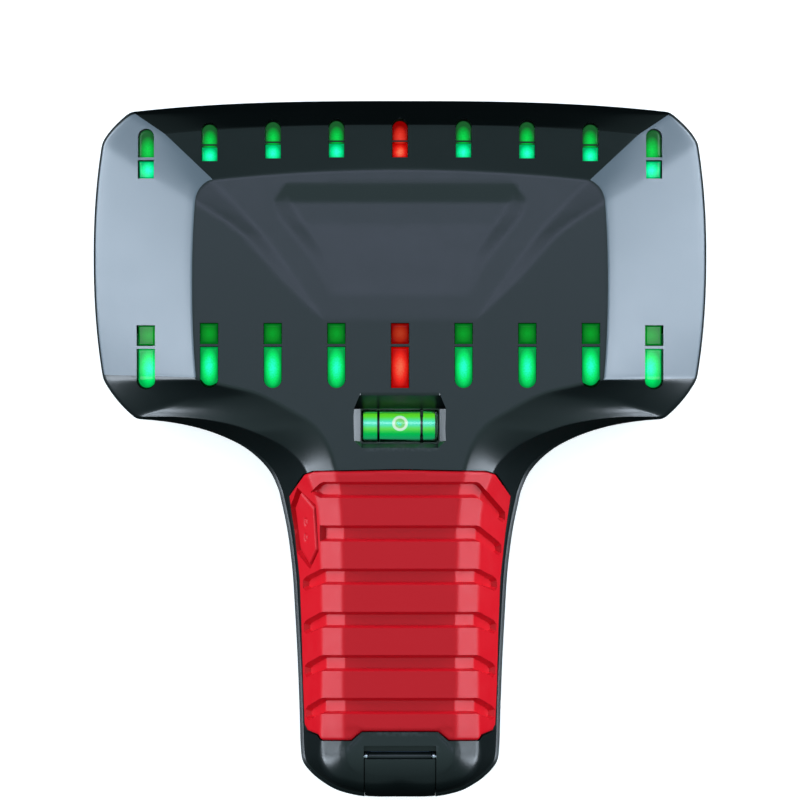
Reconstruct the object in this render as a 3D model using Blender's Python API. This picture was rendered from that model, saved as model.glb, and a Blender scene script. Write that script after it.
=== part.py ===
"""T-shaped hand-held stud finder, lying on its flat sensing face.

Frame: origin at the middle of the footprint on the surface it rests on, +X to the right of the
front face, +Y from the grip towards the head, +Z out of the front face. Values below are in
millimetres; solid() turns them into metres.
"""

import math

import bmesh
import bpy
import numpy as np
from mathutils import Matrix, Vector
from mathutils.geometry import delaunay_2d_cdt

MM = 0.001

# ---------------------------------------------------------------- driving dimensions
TOP_Y = 90.5            # head's top edge on the centre line
END_Y = -90.5           # grip's end
PAD_T = 0.8             # glide pads stand this far out of the back
BACK_Z = PAD_T          # sensing face
PART_Z = 12.0           # parting plane between the two shells
SHOULDER_Z = 16.0       # foot of the head's side facets
PANEL_Z = 33.8          # front of the neck and grip
PANEL_FALL = 0.062      # the head's panel falls back this much per mm towards the top
SEAM = 0.3              # gap between the two shells
HEAD_WALL = 2.0
GRIP_WALL = 3.9         # casing and rubber together
RUBBER_T = 2.0
POCKET = 2.2            # casing's surface under the rubber
GROOVE = 1.1            # depth of the grip's grooves
FIT = 0.2               # general clearance between parts

LIGHT_PITCH = 16.5      # nine light columns, this far apart
TOP_LIGHT_W = 3.9
LOW_LIGHT_W = 4.5
LENS_FIT = 0.15
LENS_SINK = 0.3
LENS_FOOT_Z = 8.9

VIAL_Y, VIAL_Z = 6.0, 26.4
VIAL_R, VIAL_BORE, VIAL_L = 4.2, 3.3, 19.9

DOOR_W = 18.3           # battery door, across
DOOR_FIT = 0.25
DOOR_SINK = 0.1         # its face lies this far below the casing's
HINGE_Y, HINGE_Z = -79.7, 31.3
BARREL_R, PIN_R = 1.2, 0.55

BATTERY = (17.5, 46.5, 26.5)    # PP3 block without its terminals
BATTERY_END_Y = -83.2
BATTERY_FOOT_Z = 3.1

BUTTON_Y, BUTTON_Z = -20.6, 20.8
BUTTON_TRAVEL = 0.8
BUTTON_PROUD = 0.35     # stands this far out of the side wall
BUTTON_FOOT_X = -16.9   # inner end, with a flange that keeps it in the wall
BUTTON_FLANGE = 0.8
SWITCH_X = -14.1        # outer face of the switch behind it

SCREWS = ((70.5, 58.0), (38.0, 8.6), (16.6, -66.0))     # right side, mirrored to the left
BOSS_R, SCREW_R, HEAD_R = 3.0, 1.2, 2.4

# Half outlines, right side, from the top centre clockwise. Each is (x, y) or (x, y, z).
# silhouette: the parting edge.  shoulder: foot of the facets.  brow: crease in the slope at the top.
# border: edge of the front panel.
NECK_SILHOUETTE = [(68.5, 7.8), (62.5, 7.3), (54.7, 6.0), (46.9, 3.6), (39.1, -0.5), (33.4, -6.5), (31.4, -11.0)]
NECK_SHOULDER = [(68.3, 8.3), (58.8, 8.3), (50.1, 7.5), (42.4, 5.9), (34.2, 2.6), (28.8, -0.6), (24.9, -4.8), (22.8, -9.5)]
NECK_BORDER = [(45.7, 16.3), (36.9, 14.1), (28.7, 10.0), (21.9, 5.6), (18.6, 0.6), (16.9, -4.5), (16.0, -9.5)]
GRIP_SILHOUETTE = [(31.4, -11.0), (29.3, -21.1), (28.2, -29.4), (27.2, -43.9), (26.1, -68.9), (25.9, -76.5)]
GRIP_SHOULDER = [(22.8, -9.5), (21.5, -14.0), (20.7, -27.0), (20.4, -40.0), (20.6, -70.0), (20.7, -75.0)]
GRIP_BORDER = [(16.0, -9.5), (15.4, -14.0), (14.9, -27.0), (14.8, -40.0), (14.5, -70.0), (14.3, -75.0)]
END_SILHOUETTE = [(25.9, -76.5), (25.2, -81.4), (22.9, -84.3), (19.6, -86.9), (16.8, -88.5), (12.5, -89.8), (0.0, END_Y)]
END_SHOULDER = [(20.7, -75.0), (20.6, -80.0), (17.5, -85.0), (10.5, -87.8), (0.0, -88.7)]
END_BORDER = [(14.3, -75.0), (13.8, -77.6), (11.5, -78.9), (0.0, -79.2)]

BROW_SHARE = 0.37       # where the brow's ring crosses the flat side facets

# The panel's relief: a dished V between the head's cut corners, and a tapering plate in it.
V_FOOT_Y, V_TOP_Y, V_DEPTH = 33.6, 72.6, 1.4
V_LINE = [(19.8, 33.6), (28.2, 46.0), (35.4, 55.4), (42.7, 63.5), (49.3, 69.9)]
V_BANK = [(19.8, 33.6), (31.8, 45.2), (40.9, 55.8), (45.7, 59.5), (53.6, 64.4), (62.0, 69.9)]
PLATE_RIM = [(19.4, 42.3), (23.0, 49.6), (28.1, 56.2), (31.8, 61.0), (32.9, 64.2), (29.6, 68.4)]
PLATE_FLOOR = [(16.5, 40.1), (19.4, 50.3), (23.8, 56.9), (28.1, 63.6)]
PLATE_TOP_Y, PLATE_WALL, PLATE_DEPTH = 68.9, 5.0, 0.6

# Grip's outline, right side, from the top centre clockwise, and its grooves.
GRIP_OUTLINE = [(0.0, -5.3), (22.6, -5.8), (25.0, -6.6), (29.0, -12.2), (27.6, -21.8), (26.3, -33.7), (25.8, -47.0),
                (25.4, -62.0), (25.0, -71.6), (24.2, -73.2), (21.4, -74.2), (20.4, -75.9), (12.6, -75.9),
                (9.9, -73.5), (0.0, -73.5)]
GROOVE_TOPS = (-8.7, -20.2, -31.4, -42.8, -54.2, -65.2)
GROOVE_W = 3.8
BUTTON_SIDE_GROOVE = 2      # the two top grooves stop short of the button on the left


# ---------------------------------------------------------------- small tools
def spline(points, count, closed_end=True):
    """count points of a Catmull-Rom curve through these points, evenly spaced in chord length."""
    p = np.array(points, float)
    chord = np.concatenate([[0], np.cumsum(np.linalg.norm(np.diff(p[:, :2], axis=0), axis=1))])
    tangent = np.gradient(p, chord, axis=0)
    out = []
    for s in np.linspace(0, chord[-1], count):
        i = min(int(np.searchsorted(chord, s, side="right")) - 1, len(p) - 2)
        h = chord[i + 1] - chord[i]
        t = (s - chord[i]) / h
        out.append((2 * t**3 - 3 * t**2 + 1) * p[i] + (t**3 - 2 * t**2 + t) * h * tangent[i]
                   + (3 * t**2 - 2 * t**3) * p[i + 1] + (t**3 - t**2) * h * tangent[i + 1])
    return out


def width_at(line, y):
    """x of a line of (x, y) points with rising y, at y."""
    xs, ys = zip(*line)
    return float(np.interp(y, ys, xs))


def panel_z(x, y):
    """Height of the front panel's surface."""
    x = abs(x)
    z = PANEL_Z - PANEL_FALL * max(0.0, y + 6.0)
    if y > V_FOOT_Y:
        inner, outer = width_at(V_LINE, y), width_at(V_BANK, y)
        share = 1.0 if x <= inner else max(0.0, (outer - x) / max(outer - inner, 1e-6))
        z -= V_DEPTH * (y - V_FOOT_Y) / (V_TOP_Y - V_FOOT_Y) * share
    if PLATE_FLOOR[0][1] < y < PLATE_TOP_Y:
        rim, floor = width_at(PLATE_RIM, y), width_at(PLATE_FLOOR, y)
        across = (rim - x) / max(rim - floor, 0.5)
        down = (PLATE_TOP_Y - y) / PLATE_WALL
        fade = min(1.0, (y - PLATE_FLOOR[0][1]) / 18.0)
        z -= PLATE_DEPTH * fade * max(0.0, min(1.0, across, down))
    return z


def mirrored(half):
    """A closed loop from a right half that starts and ends on the centre line."""
    return list(half) + [(-p[0], *p[1:]) for p in reversed(half[1:-1])]


def offset_outline(loop, distance):
    """A closed loop of (x, y), clockwise, moved inwards by distance."""
    p = np.array(loop, float)[:, :2]
    before, after = p - np.roll(p, 1, axis=0), np.roll(p, -1, axis=0) - p
    before /= np.linalg.norm(before, axis=1)[:, None]
    after /= np.linalg.norm(after, axis=1)[:, None]
    n1 = np.stack([before[:, 1], -before[:, 0]], axis=1)
    n2 = np.stack([after[:, 1], -after[:, 0]], axis=1)
    n = n1 + n2
    n /= np.maximum(1 + (n1 * n2).sum(axis=1), 0.3)[:, None]
    return [tuple(q) for q in p + n * distance]


# ---------------------------------------------------------------- the body's outer form
def with_z(points, z0, z1):
    """Adds a height that eases from z0 to z1 along the points."""
    steps = np.linspace(0, 1, len(points))
    return [(p[0], p[1], z0 + (z1 - z0) * t * t * (3 - 2 * t)) for p, t in zip(points, steps)]


def head_rings():
    """Right half of the head, down to its lower corner, as four rings of (x, y, z)."""
    top = np.linspace(0, 1, 8)[:-1]
    silhouette = [(70.2 * u, TOP_Y - 2.9 * u**2.8, PART_Z) for u in top]
    shoulder = [(69.8 * u, TOP_Y - 2.5 - 0.9 * u**2.8, SHOULDER_Z) for u in top]
    brow = [(62.0 * u, 84.2 - 2.1 * u**2.4, 21.8 - 0.5 * u) for u in top]
    border = [(49.3 * u, 72.6 - 2.7 * u**2) for u in top]
    silhouette += [(70.2, 87.6, PART_Z), (75.0, 83.1, PART_Z)]
    shoulder += [(69.8, 87.1, SHOULDER_Z), (74.6, 82.7, SHOULDER_Z)]
    brow += [(62.0, 82.1, 21.3), (65.9, 79.2, 21.3)]
    border += [(49.3, 69.9), (52.0, 67.7)]
    for u in np.linspace(0, 1, 8)[:-1]:
        silhouette.append((79.8 - 2.3 * abs(2 * u - 1)**2.2 - 0.3 * u, 79.2 - 61.0 * u, PART_Z))
        shoulder.append((79.4 - 2.3 * abs(2 * u - 1)**2.2 - 0.3 * u, 79.0 - 60.7 * u, SHOULDER_Z))
        brow.append(None)
        border.append((54.1 - 0.9 * abs(2 * u - 1)**2.2 - 0.3 * u, 64.4 - 46.6 * u))
    for u in (0.0, 0.5):
        silhouette.append((77.2 - 8.7 * u + 0.6 * (u > 0), 18.2 - 10.4 * u - 0.4 * (u > 0), PART_Z))
        shoulder.append((76.8 - 8.5 * u + 0.6 * (u > 0), 18.3 - 10.0 * u - 0.4 * (u > 0), SHOULDER_Z - 0.8 * u))
        brow.append(None)
        border.append((52.8 - 7.1 * u, 17.8 - 1.5 * u))
    return silhouette, shoulder, brow, border


def neck_and_grip_rings():
    """Right half from the head's lowest corner to the end's centre."""
    silhouette = [(*p[:2], PART_Z) for p in spline(NECK_SILHOUETTE, 9)[:-1]]
    shoulder = with_z(spline(NECK_SHOULDER, 9), 15.2, 29.8)[:-1]
    border = spline(NECK_BORDER, 9)[:-1]
    silhouette += [(*p[:2], PART_Z) for p in spline(GRIP_SILHOUETTE, 7)[:-1]]
    shoulder += with_z(spline(GRIP_SHOULDER, 7), 29.8, 30.2)[:-1]
    border += spline(GRIP_BORDER, 7)[:-1]
    silhouette += [(*p[:2], PART_Z) for p in spline(END_SILHOUETTE, 9)]
    shoulder += with_z(spline(END_SHOULDER, 9), 30.2, 23.5)
    border += spline(END_BORDER, 9)
    brow = []
    for low, high in zip(shoulder, border):
        end = min(1.0, max(0.0, (-76.0 - low[1]) / 10.0))
        share = 0.38 + 0.14 * end
        z = low[2] + (PANEL_Z - low[2]) * (share + 0.32 * end)
        brow.append((low[0] + (high[0] - low[0]) * share, low[1] + (high[1] - low[1]) * share, z))
    return silhouette, shoulder, brow, border


def body_rings():
    """The outer form as closed rings, back to front."""
    rings = [a + b for a, b in zip(head_rings(), neck_and_grip_rings())]
    rings[3] = [(p[0], p[1], panel_z(p[0], p[1])) for p in rings[3]]
    rings[2] = [b or tuple(s + BROW_SHARE * (h - s) for s, h in zip(low, high))
                for low, b, high in zip(rings[1], rings[2], rings[3])]
    silhouette, shoulder, brow, border = [mirrored(r) for r in rings]
    back_edge = [(x, y, BACK_Z + 2.2) for x, y in offset_outline(silhouette, 0.7)]
    back = [(x, y, BACK_Z) for x, y in offset_outline(silhouette, 2.6)]
    return [back, back_edge, silhouette, shoulder, brow, border]


def panel_creases():
    """The lines that the panel's relief bends along, as lists of (x, y), both sides."""
    plate_rim = [p for p in PLATE_RIM] + [(0.0, PLATE_TOP_Y)]
    plate_floor = [p for p in PLATE_FLOOR] + [(0.0, PLATE_TOP_Y - PLATE_WALL)]
    lines = [V_LINE[:-1], V_BANK[1:-2], plate_rim, plate_floor]
    return lines + [[(-x, y) for x, y in line] for line in lines]


def add_panel(bm, border):
    """Fills the front with triangles that follow the creases."""
    points = [Vector(v.co[:2]) for v in border]
    edges = [(i, (i + 1) % len(border)) for i in range(len(border))]
    for line in panel_creases():
        first = len(points)
        points += [Vector(p) for p in line]
        edges += [(first + i, first + i + 1) for i in range(len(line) - 1)]
    coords, _, faces, origin, _, _ = delaunay_2d_cdt(points, edges, [], 1, 1e-4)
    verts = [border[o[0]] if o and o[0] < len(border) else bm.verts.new((c.x, c.y, panel_z(c.x, c.y)))
             for c, o in zip(coords, origin)]
    for face in faces:
        bm.faces.new([verts[i] for i in face])


def body_mesh(inset=None):
    """The closed outer form, or the form inset by inset(y) along its surface."""
    bm = bmesh.new()
    rings = [[bm.verts.new(p) for p in ring] for ring in body_rings()]
    count = len(rings[0])
    for low, high in zip(rings, rings[1:]):
        for i in range(count):
            j = (i + 1) % count
            bm.faces.new((low[i], high[i], high[j], low[j]))
    bm.faces.new(rings[0])
    add_panel(bm, rings[-1])
    bmesh.ops.triangulate(bm, faces=bm.faces[:])
    bmesh.ops.recalc_face_normals(bm, faces=bm.faces[:])
    if inset:
        bm.normal_update()
        moved = [v.co - v.normal * inset(v.co.y) * min(v.calc_shell_factor(), 1.6) for v in bm.verts]
        for v, co in zip(bm.verts, moved):
            v.co = co
    return bm


# ---------------------------------------------------------------- solids and Booleans
def material(name, colour, roughness, metallic=0.0, alpha=1.0):
    mat = bpy.data.materials.get(name) or bpy.data.materials.new(name)
    mat.use_nodes = True
    shader = mat.node_tree.nodes["Principled BSDF"]
    shader.inputs["Base Color"].default_value = (*colour, 1.0)
    shader.inputs["Roughness"].default_value = roughness
    shader.inputs["Metallic"].default_value = metallic
    shader.inputs["Alpha"].default_value = alpha
    mat.diffuse_color = (*colour, alpha)
    return mat


def solid(name, bm, mat=None):
    """An object in metres from a bmesh in millimetres."""
    bmesh.ops.recalc_face_normals(bm, faces=bm.faces[:])
    bmesh.ops.scale(bm, vec=(MM, MM, MM), verts=bm.verts[:])
    mesh = bpy.data.meshes.new(name)
    bm.to_mesh(mesh)
    bm.free()
    obj = bpy.data.objects.new(name, mesh)
    bpy.context.scene.collection.objects.link(obj)
    if mat:
        mesh.materials.append(mat)
    return obj


def combine(target, operation, tool):
    """Applies one exact Boolean to target and removes the tool."""
    modifier = target.modifiers.new(operation, "BOOLEAN")
    modifier.operation = operation
    modifier.solver = "EXACT"
    modifier.use_self = operation == "UNION"
    modifier.object = tool
    graph = bpy.context.evaluated_depsgraph_get()
    mesh = bpy.data.meshes.new_from_object(target.evaluated_get(graph))
    target.modifiers.clear()
    target.data = mesh
    bpy.data.objects.remove(tool)
    return target


def cut(target, *tools):
    for tool in tools:
        combine(target, "DIFFERENCE", tool)
    return target


def join(target, *tools):
    for tool in tools:
        combine(target, "UNION", tool)
    return target


def keep(target, tool):
    return combine(target, "INTERSECT", tool)


def seat(obj, x, y, z):
    """Puts the piece's origin at this point and leaves its shape where it is."""
    place = Matrix.Translation((x * MM, y * MM, z * MM))
    obj.data.transform(place.inverted())
    obj.matrix_world = place
    return obj


def prism(outline, z0, z1):
    """A bmesh: an outline of (x, y) extruded along Z."""
    bm = bmesh.new()
    low = [bm.verts.new((p[0], p[1], z0)) for p in outline]
    high = [bm.verts.new((p[0], p[1], z1)) for p in outline]
    bm.faces.new(low)
    bm.faces.new(high)
    for i in range(len(outline)):
        j = (i + 1) % len(outline)
        bm.faces.new((low[i], low[j], high[j], high[i]))
    bmesh.ops.recalc_face_normals(bm, faces=bm.faces[:])
    return bm


def side_prism(outline, x0, x1):
    """A bmesh: an outline of (y, z) extruded along X."""
    bm = prism(outline, x0, x1)
    turn = Matrix(((0, 0, 1), (1, 0, 0), (0, 1, 0))).to_4x4()
    bmesh.ops.transform(bm, matrix=turn, verts=bm.verts[:])
    return bm


def box(x0, x1, y0, y1, z0, z1):
    return prism([(x0, y0), (x1, y0), (x1, y1), (x0, y1)], z0, z1)


def rod(x, y, z, radius, length, axis="Z", sides=16, tip=None):
    """A bmesh cylinder that starts at (x, y, z) and runs along axis; tip is its far radius."""
    bm = bmesh.new()
    bmesh.ops.create_cone(bm, cap_ends=True, segments=sides, radius1=radius,
                          radius2=radius if tip is None else tip, depth=length)
    bmesh.ops.translate(bm, vec=(0, 0, length / 2), verts=bm.verts[:])
    turn = {"Z": Matrix.Identity(4), "X": Matrix.Rotation(math.pi / 2, 4, "Y"),
            "Y": Matrix.Rotation(-math.pi / 2, 4, "X")}[axis]
    bmesh.ops.transform(bm, matrix=Matrix.Translation((x, y, z)) @ turn, verts=bm.verts[:])
    return bm


def merge(*meshes):
    """One bmesh from several that don't touch."""
    whole = bmesh.new()
    for bm in meshes:
        part = bpy.data.meshes.new("part")
        bm.to_mesh(part)
        whole.from_mesh(part)
        bpy.data.meshes.remove(part)
        bm.free()
    return whole


def finish(obj, mat):
    """Gives the finished piece its one material and smooth round sides."""
    obj.data.materials.clear()
    obj.data.materials.append(mat)
    obj.data.shade_smooth()
    obj.data.set_sharp_from_angle(angle=math.radians(28))
    return obj


def both(values):
    """Right-side places and their left-side mirrors, with a name for each."""
    return [(side, sign * x, y) for x, y in values for side, sign in (("right", 1), ("left", -1))]


# ---------------------------------------------------------------- light windows
def light_columns():
    """(number, x, top row's windows, low row's windows): each window is (y low, y high, rounded end or None)."""
    columns = []
    for number in range(9):
        step = number - 4
        if abs(step) == 4:
            top = ((75.9, 83.1, "high"), (70.4, 74.9, None))
            low = ((26.9, 32.0, None), (15.6, 25.9, "low"))
        else:
            drop = (abs(step) / 3) ** 3
            top = ((80.3 - drop, 85.7 - drop, "high"), (75.9 - drop, 79.6 - drop, None))
            low = ((27.4, 32.6, None), (16.0, 26.5, "low" if step else None))
        columns.append((number + 1, step * LIGHT_PITCH, top, low))
    return columns


def window_outline(x, width, window, grow=0.0):
    y0, y1, rounded = window
    y0, y1, half = y0 - grow, y1 + grow, width / 2 + grow
    corners = [(x - half, y0), (x + half, y0), (x + half, y1), (x - half, y1)]
    if not rounded:
        return corners
    centre = y1 - half if rounded == "high" else y0 + half
    sign = 1 if rounded == "high" else -1
    arc = [(x + half * math.cos(a), centre + sign * half * math.sin(a)) for a in np.linspace(0, math.pi, 8)]
    return (corners[:2] + arc) if rounded == "high" else (corners[2:] + [(p[0], p[1]) for p in arc[::-1]])


def window_tools():
    """Cutters for every light window, as one mesh of separate prisms."""
    tools = []
    for _, x, top, low in light_columns():
        for width, row in ((TOP_LIGHT_W, top), (LOW_LIGHT_W, low)):
            for window in row:
                tools.append(prism(window_outline(x, width, window, LENS_FIT), PART_Z + 2, 50))
    return solid("window_tools", merge(*tools))


def light_pipe(name, x, width, row, mat):
    """One clear piece: two windows in the front, and the block under them that leads light up."""
    windows = solid("windows", merge(*[prism(window_outline(x, width, w), PART_Z, 50) for w in row]))
    keep(windows, solid("sunk_form", body_mesh(lambda y: LENS_SINK)))
    y0, y1 = min(w[0] for w in row), max(w[1] for w in row) + 0.4
    block = solid(name, box(x - width / 2 - 0.6, x + width / 2 + 0.6, y0, y1, LENS_FOOT_Z, 50))
    keep(block, solid("under_casing", body_mesh(lambda y: HEAD_WALL + FIT)))
    return finish(join(block, windows), mat)


# ---------------------------------------------------------------- vial and its recess
def recess_tool():
    """The hopper in front of the vial: a cut-cornered mouth that narrows to the vial's slot."""
    bm = bmesh.new()
    mouth = [(10.2, 14.6), (12.3, 10.4), (12.3, 1.8), (10.4, -3.0)]
    throat = [(10.2, 10.5), (10.3, 10.4), (10.3, 1.6), (10.2, 1.5)]
    low = [bm.verts.new((x, y, 26.6)) for x, y in throat + [(-x, y) for x, y in reversed(throat)]]
    high = [bm.verts.new((x, y, PANEL_Z + 0.4)) for x, y in mouth + [(-x, y) for x, y in reversed(mouth)]]
    bm.faces.new(low)
    bm.faces.new(high)
    for i in range(len(low)):
        j = (i + 1) % len(low)
        bm.faces.new((low[i], low[j], high[j], high[i]))
    bmesh.ops.recalc_face_normals(bm, faces=bm.faces[:])
    return solid("recess_tool", bm)


def make_vial(acrylic, liquid, air, black):
    half = VIAL_L / 2
    barrel = solid("vial_barrel", rod(-half, VIAL_Y, VIAL_Z, VIAL_R, VIAL_L, "X", 24))
    cut(barrel, solid("bore", rod(-half + 1.4, VIAL_Y, VIAL_Z, VIAL_BORE, VIAL_L, "X", 24)))
    for side, sign in (("left", -1), ("right", 1)):
        ring = rod(sign * 5.6 - 0.45, VIAL_Y, VIAL_Z, VIAL_R + 0.1, 0.9, "X", 24)
        cut(barrel, cut(solid("ring_groove", ring),
                        solid("core", rod(sign * 5.6 - 1, VIAL_Y, VIAL_Z, VIAL_R - 0.35, 2, "X", 24))))
        band = solid(f"vial_ring_{side}", rod(sign * 5.6 - 0.3, VIAL_Y, VIAL_Z, VIAL_R - 0.02, 0.6, "X", 24))
        cut(band, solid("core", rod(sign * 5.6 - 1, VIAL_Y, VIAL_Z, VIAL_R - 0.25, 2, "X", 24)))
        finish(band, black)
    finish(barrel, acrylic)
    plug = solid("vial_plug", rod(half - 1.5, VIAL_Y, VIAL_Z, VIAL_BORE - 0.15, 1.4, "X", 20))
    finish(plug, acrylic)
    fluid = solid("vial_fluid", rod(-half + 1.7, VIAL_Y, VIAL_Z, VIAL_BORE - FIT, VIAL_L - 3.6, "X", 20))
    cut(fluid, solid("above", box(-12, 12, 0, 12, VIAL_Z, VIAL_Z + 8)))
    finish(fluid, liquid)
    bm = bmesh.new()
    bmesh.ops.create_uvsphere(bm, u_segments=14, v_segments=8, radius=1.0)
    place = Matrix.Translation((0, VIAL_Y, VIAL_Z + 1.6)) @ Matrix.Diagonal((4.2, 2.0, 1.3, 1))
    bmesh.ops.transform(bm, matrix=place, verts=bm.verts[:])
    seat(finish(solid("vial_bubble", bm), air), 0, VIAL_Y, VIAL_Z + 1.6)
    clip = solid("vial_retainer", box(-12.8, 12.8, -4.0, 15.4, 18.6, 19.8))
    join(clip, solid("pad", box(-9.4, 9.4, 2.6, 9.4, 19.0, VIAL_Z - VIAL_R - 0.2)))
    finish(clip, black)


# ---------------------------------------------------------------- casing
def wall_inset(y):
    """Thin in the head, casing and rubber together in the grip."""
    return float(np.interp(y, (-3.0, 3.0), (GRIP_WALL, HEAD_WALL)))


def grip_region(grow=0.0):
    return prism(offset_outline(mirrored(GRIP_OUTLINE), -grow), PART_Z + 1.5 - grow, 50)


def button_outline(grow=0.0):
    """Long hexagon on the left side wall, as (y, z)."""
    half_y, half_z, cut_y = 9.4 + grow, 4.6 + grow, 5.4 + grow / 2
    return [(BUTTON_Y + y, BUTTON_Z + z) for y, z in
            ((-half_y, 0), (-cut_y, -half_z), (cut_y, -half_z), (half_y, 0), (cut_y, half_z), (-cut_y, half_z))]


def make_front_shell(mat):
    shell = solid("front_shell", body_mesh())
    cut(shell, solid("below", box(-100, 100, -100, 100, -5, PART_Z + SEAM / 2)))
    cavity = solid("cavity", body_mesh(wall_inset))
    join_bosses = []
    for _, x, y in both(SCREWS):
        join_bosses.append(rod(x, y, PART_Z + SEAM / 2, BOSS_R, 30, "Z", 14))
    bosses = solid("bosses", merge(*join_bosses))
    keep(bosses, solid("inside", body_mesh(lambda y: 1.0)))
    cut(shell, cavity)
    bucket = solid("bucket", box(-13.2, 13.2, -5.0, 15.6, 20.2, 45))
    keep(bucket, solid("inside", body_mesh(lambda y: 1.0)))
    join(shell, bosses, bucket)
    pocket = cut(solid("pocket", grip_region(FIT)), solid("pocket_floor", body_mesh(lambda y: POCKET)))
    cut(shell, pocket)
    cut(shell, recess_tool())
    cut(shell, solid("vial_slot", box(-10.2, 10.2, VIAL_Y - 4.5, VIAL_Y + 4.5, 15, 27)))
    cut(shell, window_tools())
    cut(shell, solid("button_hole", side_prism(button_outline(0.25), -40, -12)))
    half = DOOR_W / 2 + DOOR_FIT
    cut(shell, solid("end_opening", box(-half, half, -95, -78.3, -2, 50)))
    cut(shell, solid("knuckle_pocket", box(-half, half, -78.5, -77.2, HINGE_Z - BARREL_R - FIT, 50)))
    cut(shell, solid("pin_hole", rod(-11, HINGE_Y, HINGE_Z, PIN_R + 0.15, 22, "X", 14)))
    pilots = [rod(x, y, 5, SCREW_R + FIT, PART_Z + 4.2 - 5, "Z", 12) for _, x, y in both(SCREWS)]
    cut(shell, solid("pilots", merge(*pilots)))
    return finish(shell, mat)


PADS = (("glide_pad_left", -66.0, -46.0, 22.0, 74.0), ("glide_pad_right", 46.0, 66.0, 22.0, 74.0),
        ("glide_pad_grip", -15.0, 15.0, -58.0, -40.0))
PAD_SINK = 0.5


def rounded_rectangle(x0, x1, y0, y1, radius, steps=4):
    points = []
    for cx, cy, start in ((x1 - radius, y1 - radius, 0), (x0 + radius, y1 - radius, 90),
                          (x0 + radius, y0 + radius, 180), (x1 - radius, y0 + radius, 270)):
        for a in np.linspace(0, 90, steps):
            angle = math.radians(start + a)
            points.append((cx + radius * math.cos(angle), cy + radius * math.sin(angle)))
    return points


def make_rear_shell(mat):
    shell = solid("rear_shell", body_mesh())
    cut(shell, solid("above", box(-100, 100, -100, 100, PART_Z - SEAM / 2, 60)))
    silhouette = body_rings()[2]
    cut(shell, solid("cavity", prism(offset_outline(silhouette, HEAD_WALL), BACK_Z + 1.9, 40)))
    bosses = merge(*[rod(x, y, BACK_Z + 1, BOSS_R + 1.2, 9.6, "Z", 14) for _, x, y in both(SCREWS)])
    bosses = keep(solid("bosses", bosses), solid("inside", body_mesh(lambda y: 0.8)))
    join(shell, bosses)
    posts = merge(*[rod(x, y, BACK_Z + 1, 2.2, 2.6, "Z", 10) for _, x, y in both(PCB_SCREWS)])
    join(shell, solid("posts", posts))
    half = DOOR_W / 2 + DOOR_FIT
    cut(shell, solid("end_opening", box(-half, half, -95, -84, BACK_Z + 2.1, 40)))
    cut(shell, solid("nail_notch", box(-6.0, 6.0, END_Y - 5, END_Y + 2.4, BACK_Z - 1, 6)))
    holes = merge(*[rod(x, y, -1, SCREW_R + 0.3, 20, "Z", 12) for _, x, y in both(SCREWS)])
    heads = merge(*[rod(x, y, -1, HEAD_R + 0.4, 6.4, "Z", 14) for _, x, y in both(SCREWS)])
    pilots = merge(*[rod(x, y, BACK_Z + 1.2, 1.0, 6, "Z", 8) for _, x, y in both(PCB_SCREWS)])
    recesses = merge(*[prism(rounded_rectangle(x0 - FIT, x1 + FIT, y0 - FIT, y1 + FIT, 4.2), -1, BACK_Z + PAD_SINK)
                       for _, x0, x1, y0, y1 in PADS])
    cut(shell, solid("holes", holes), solid("heads", heads), solid("pilots", pilots), solid("recesses", recesses))
    return finish(shell, mat)


def make_pads(mat):
    for name, x0, x1, y0, y1 in PADS:
        finish(solid(name, prism(rounded_rectangle(x0, x1, y0, y1, 4.0), 0, BACK_Z + PAD_SINK - 0.15)), mat)


def groove_outline(number, sign):
    """Half of one groove in plan: across the front, then angled down over the side."""
    top = GROOVE_TOPS[number]
    lean = 7.0 if number == 0 else 4.2 if number == 1 else 2.2
    reach = 27.2 if number == 0 else 26.2 if number == 1 else 25.1 - 0.2 * (number - 2)
    x = 19.8
    shape = [(0, top - GROOVE_W), (0, top), (x, top), (reach - 0.9, top - lean), (reach, top - lean - 0.9),
             (reach, top - lean - 2.7), (reach - 0.9, top - lean - 3.4), (x, top - GROOVE_W)]
    if sign < 0 and number < BUTTON_SIDE_GROOVE:
        shape = shape[:2] + [(x + 0.2, top), (x + 0.2, top - GROOVE_W)]
    return [(sign * px, py) for px, py in shape]


def make_grip(mat):
    grip = solid("grip_overmould", grip_region())
    outer = solid("outer", body_mesh())
    for number in range(len(GROOVE_TOPS)):
        right = groove_outline(number, 1)
        left = groove_outline(number, -1)
        outline = right[2:] + left[:1:-1]
        cut(outer, solid("groove", prism(outline, PART_Z, 50)))
    join(outer, solid("groove_floor", body_mesh(lambda y: GROOVE)))
    keep(grip, outer)
    cut(grip, solid("inside", body_mesh(lambda y: RUBBER_T)))
    cut(grip, solid("button_hole", side_prism(button_outline(0.25), -40, -12)))
    return finish(grip, mat)


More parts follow.
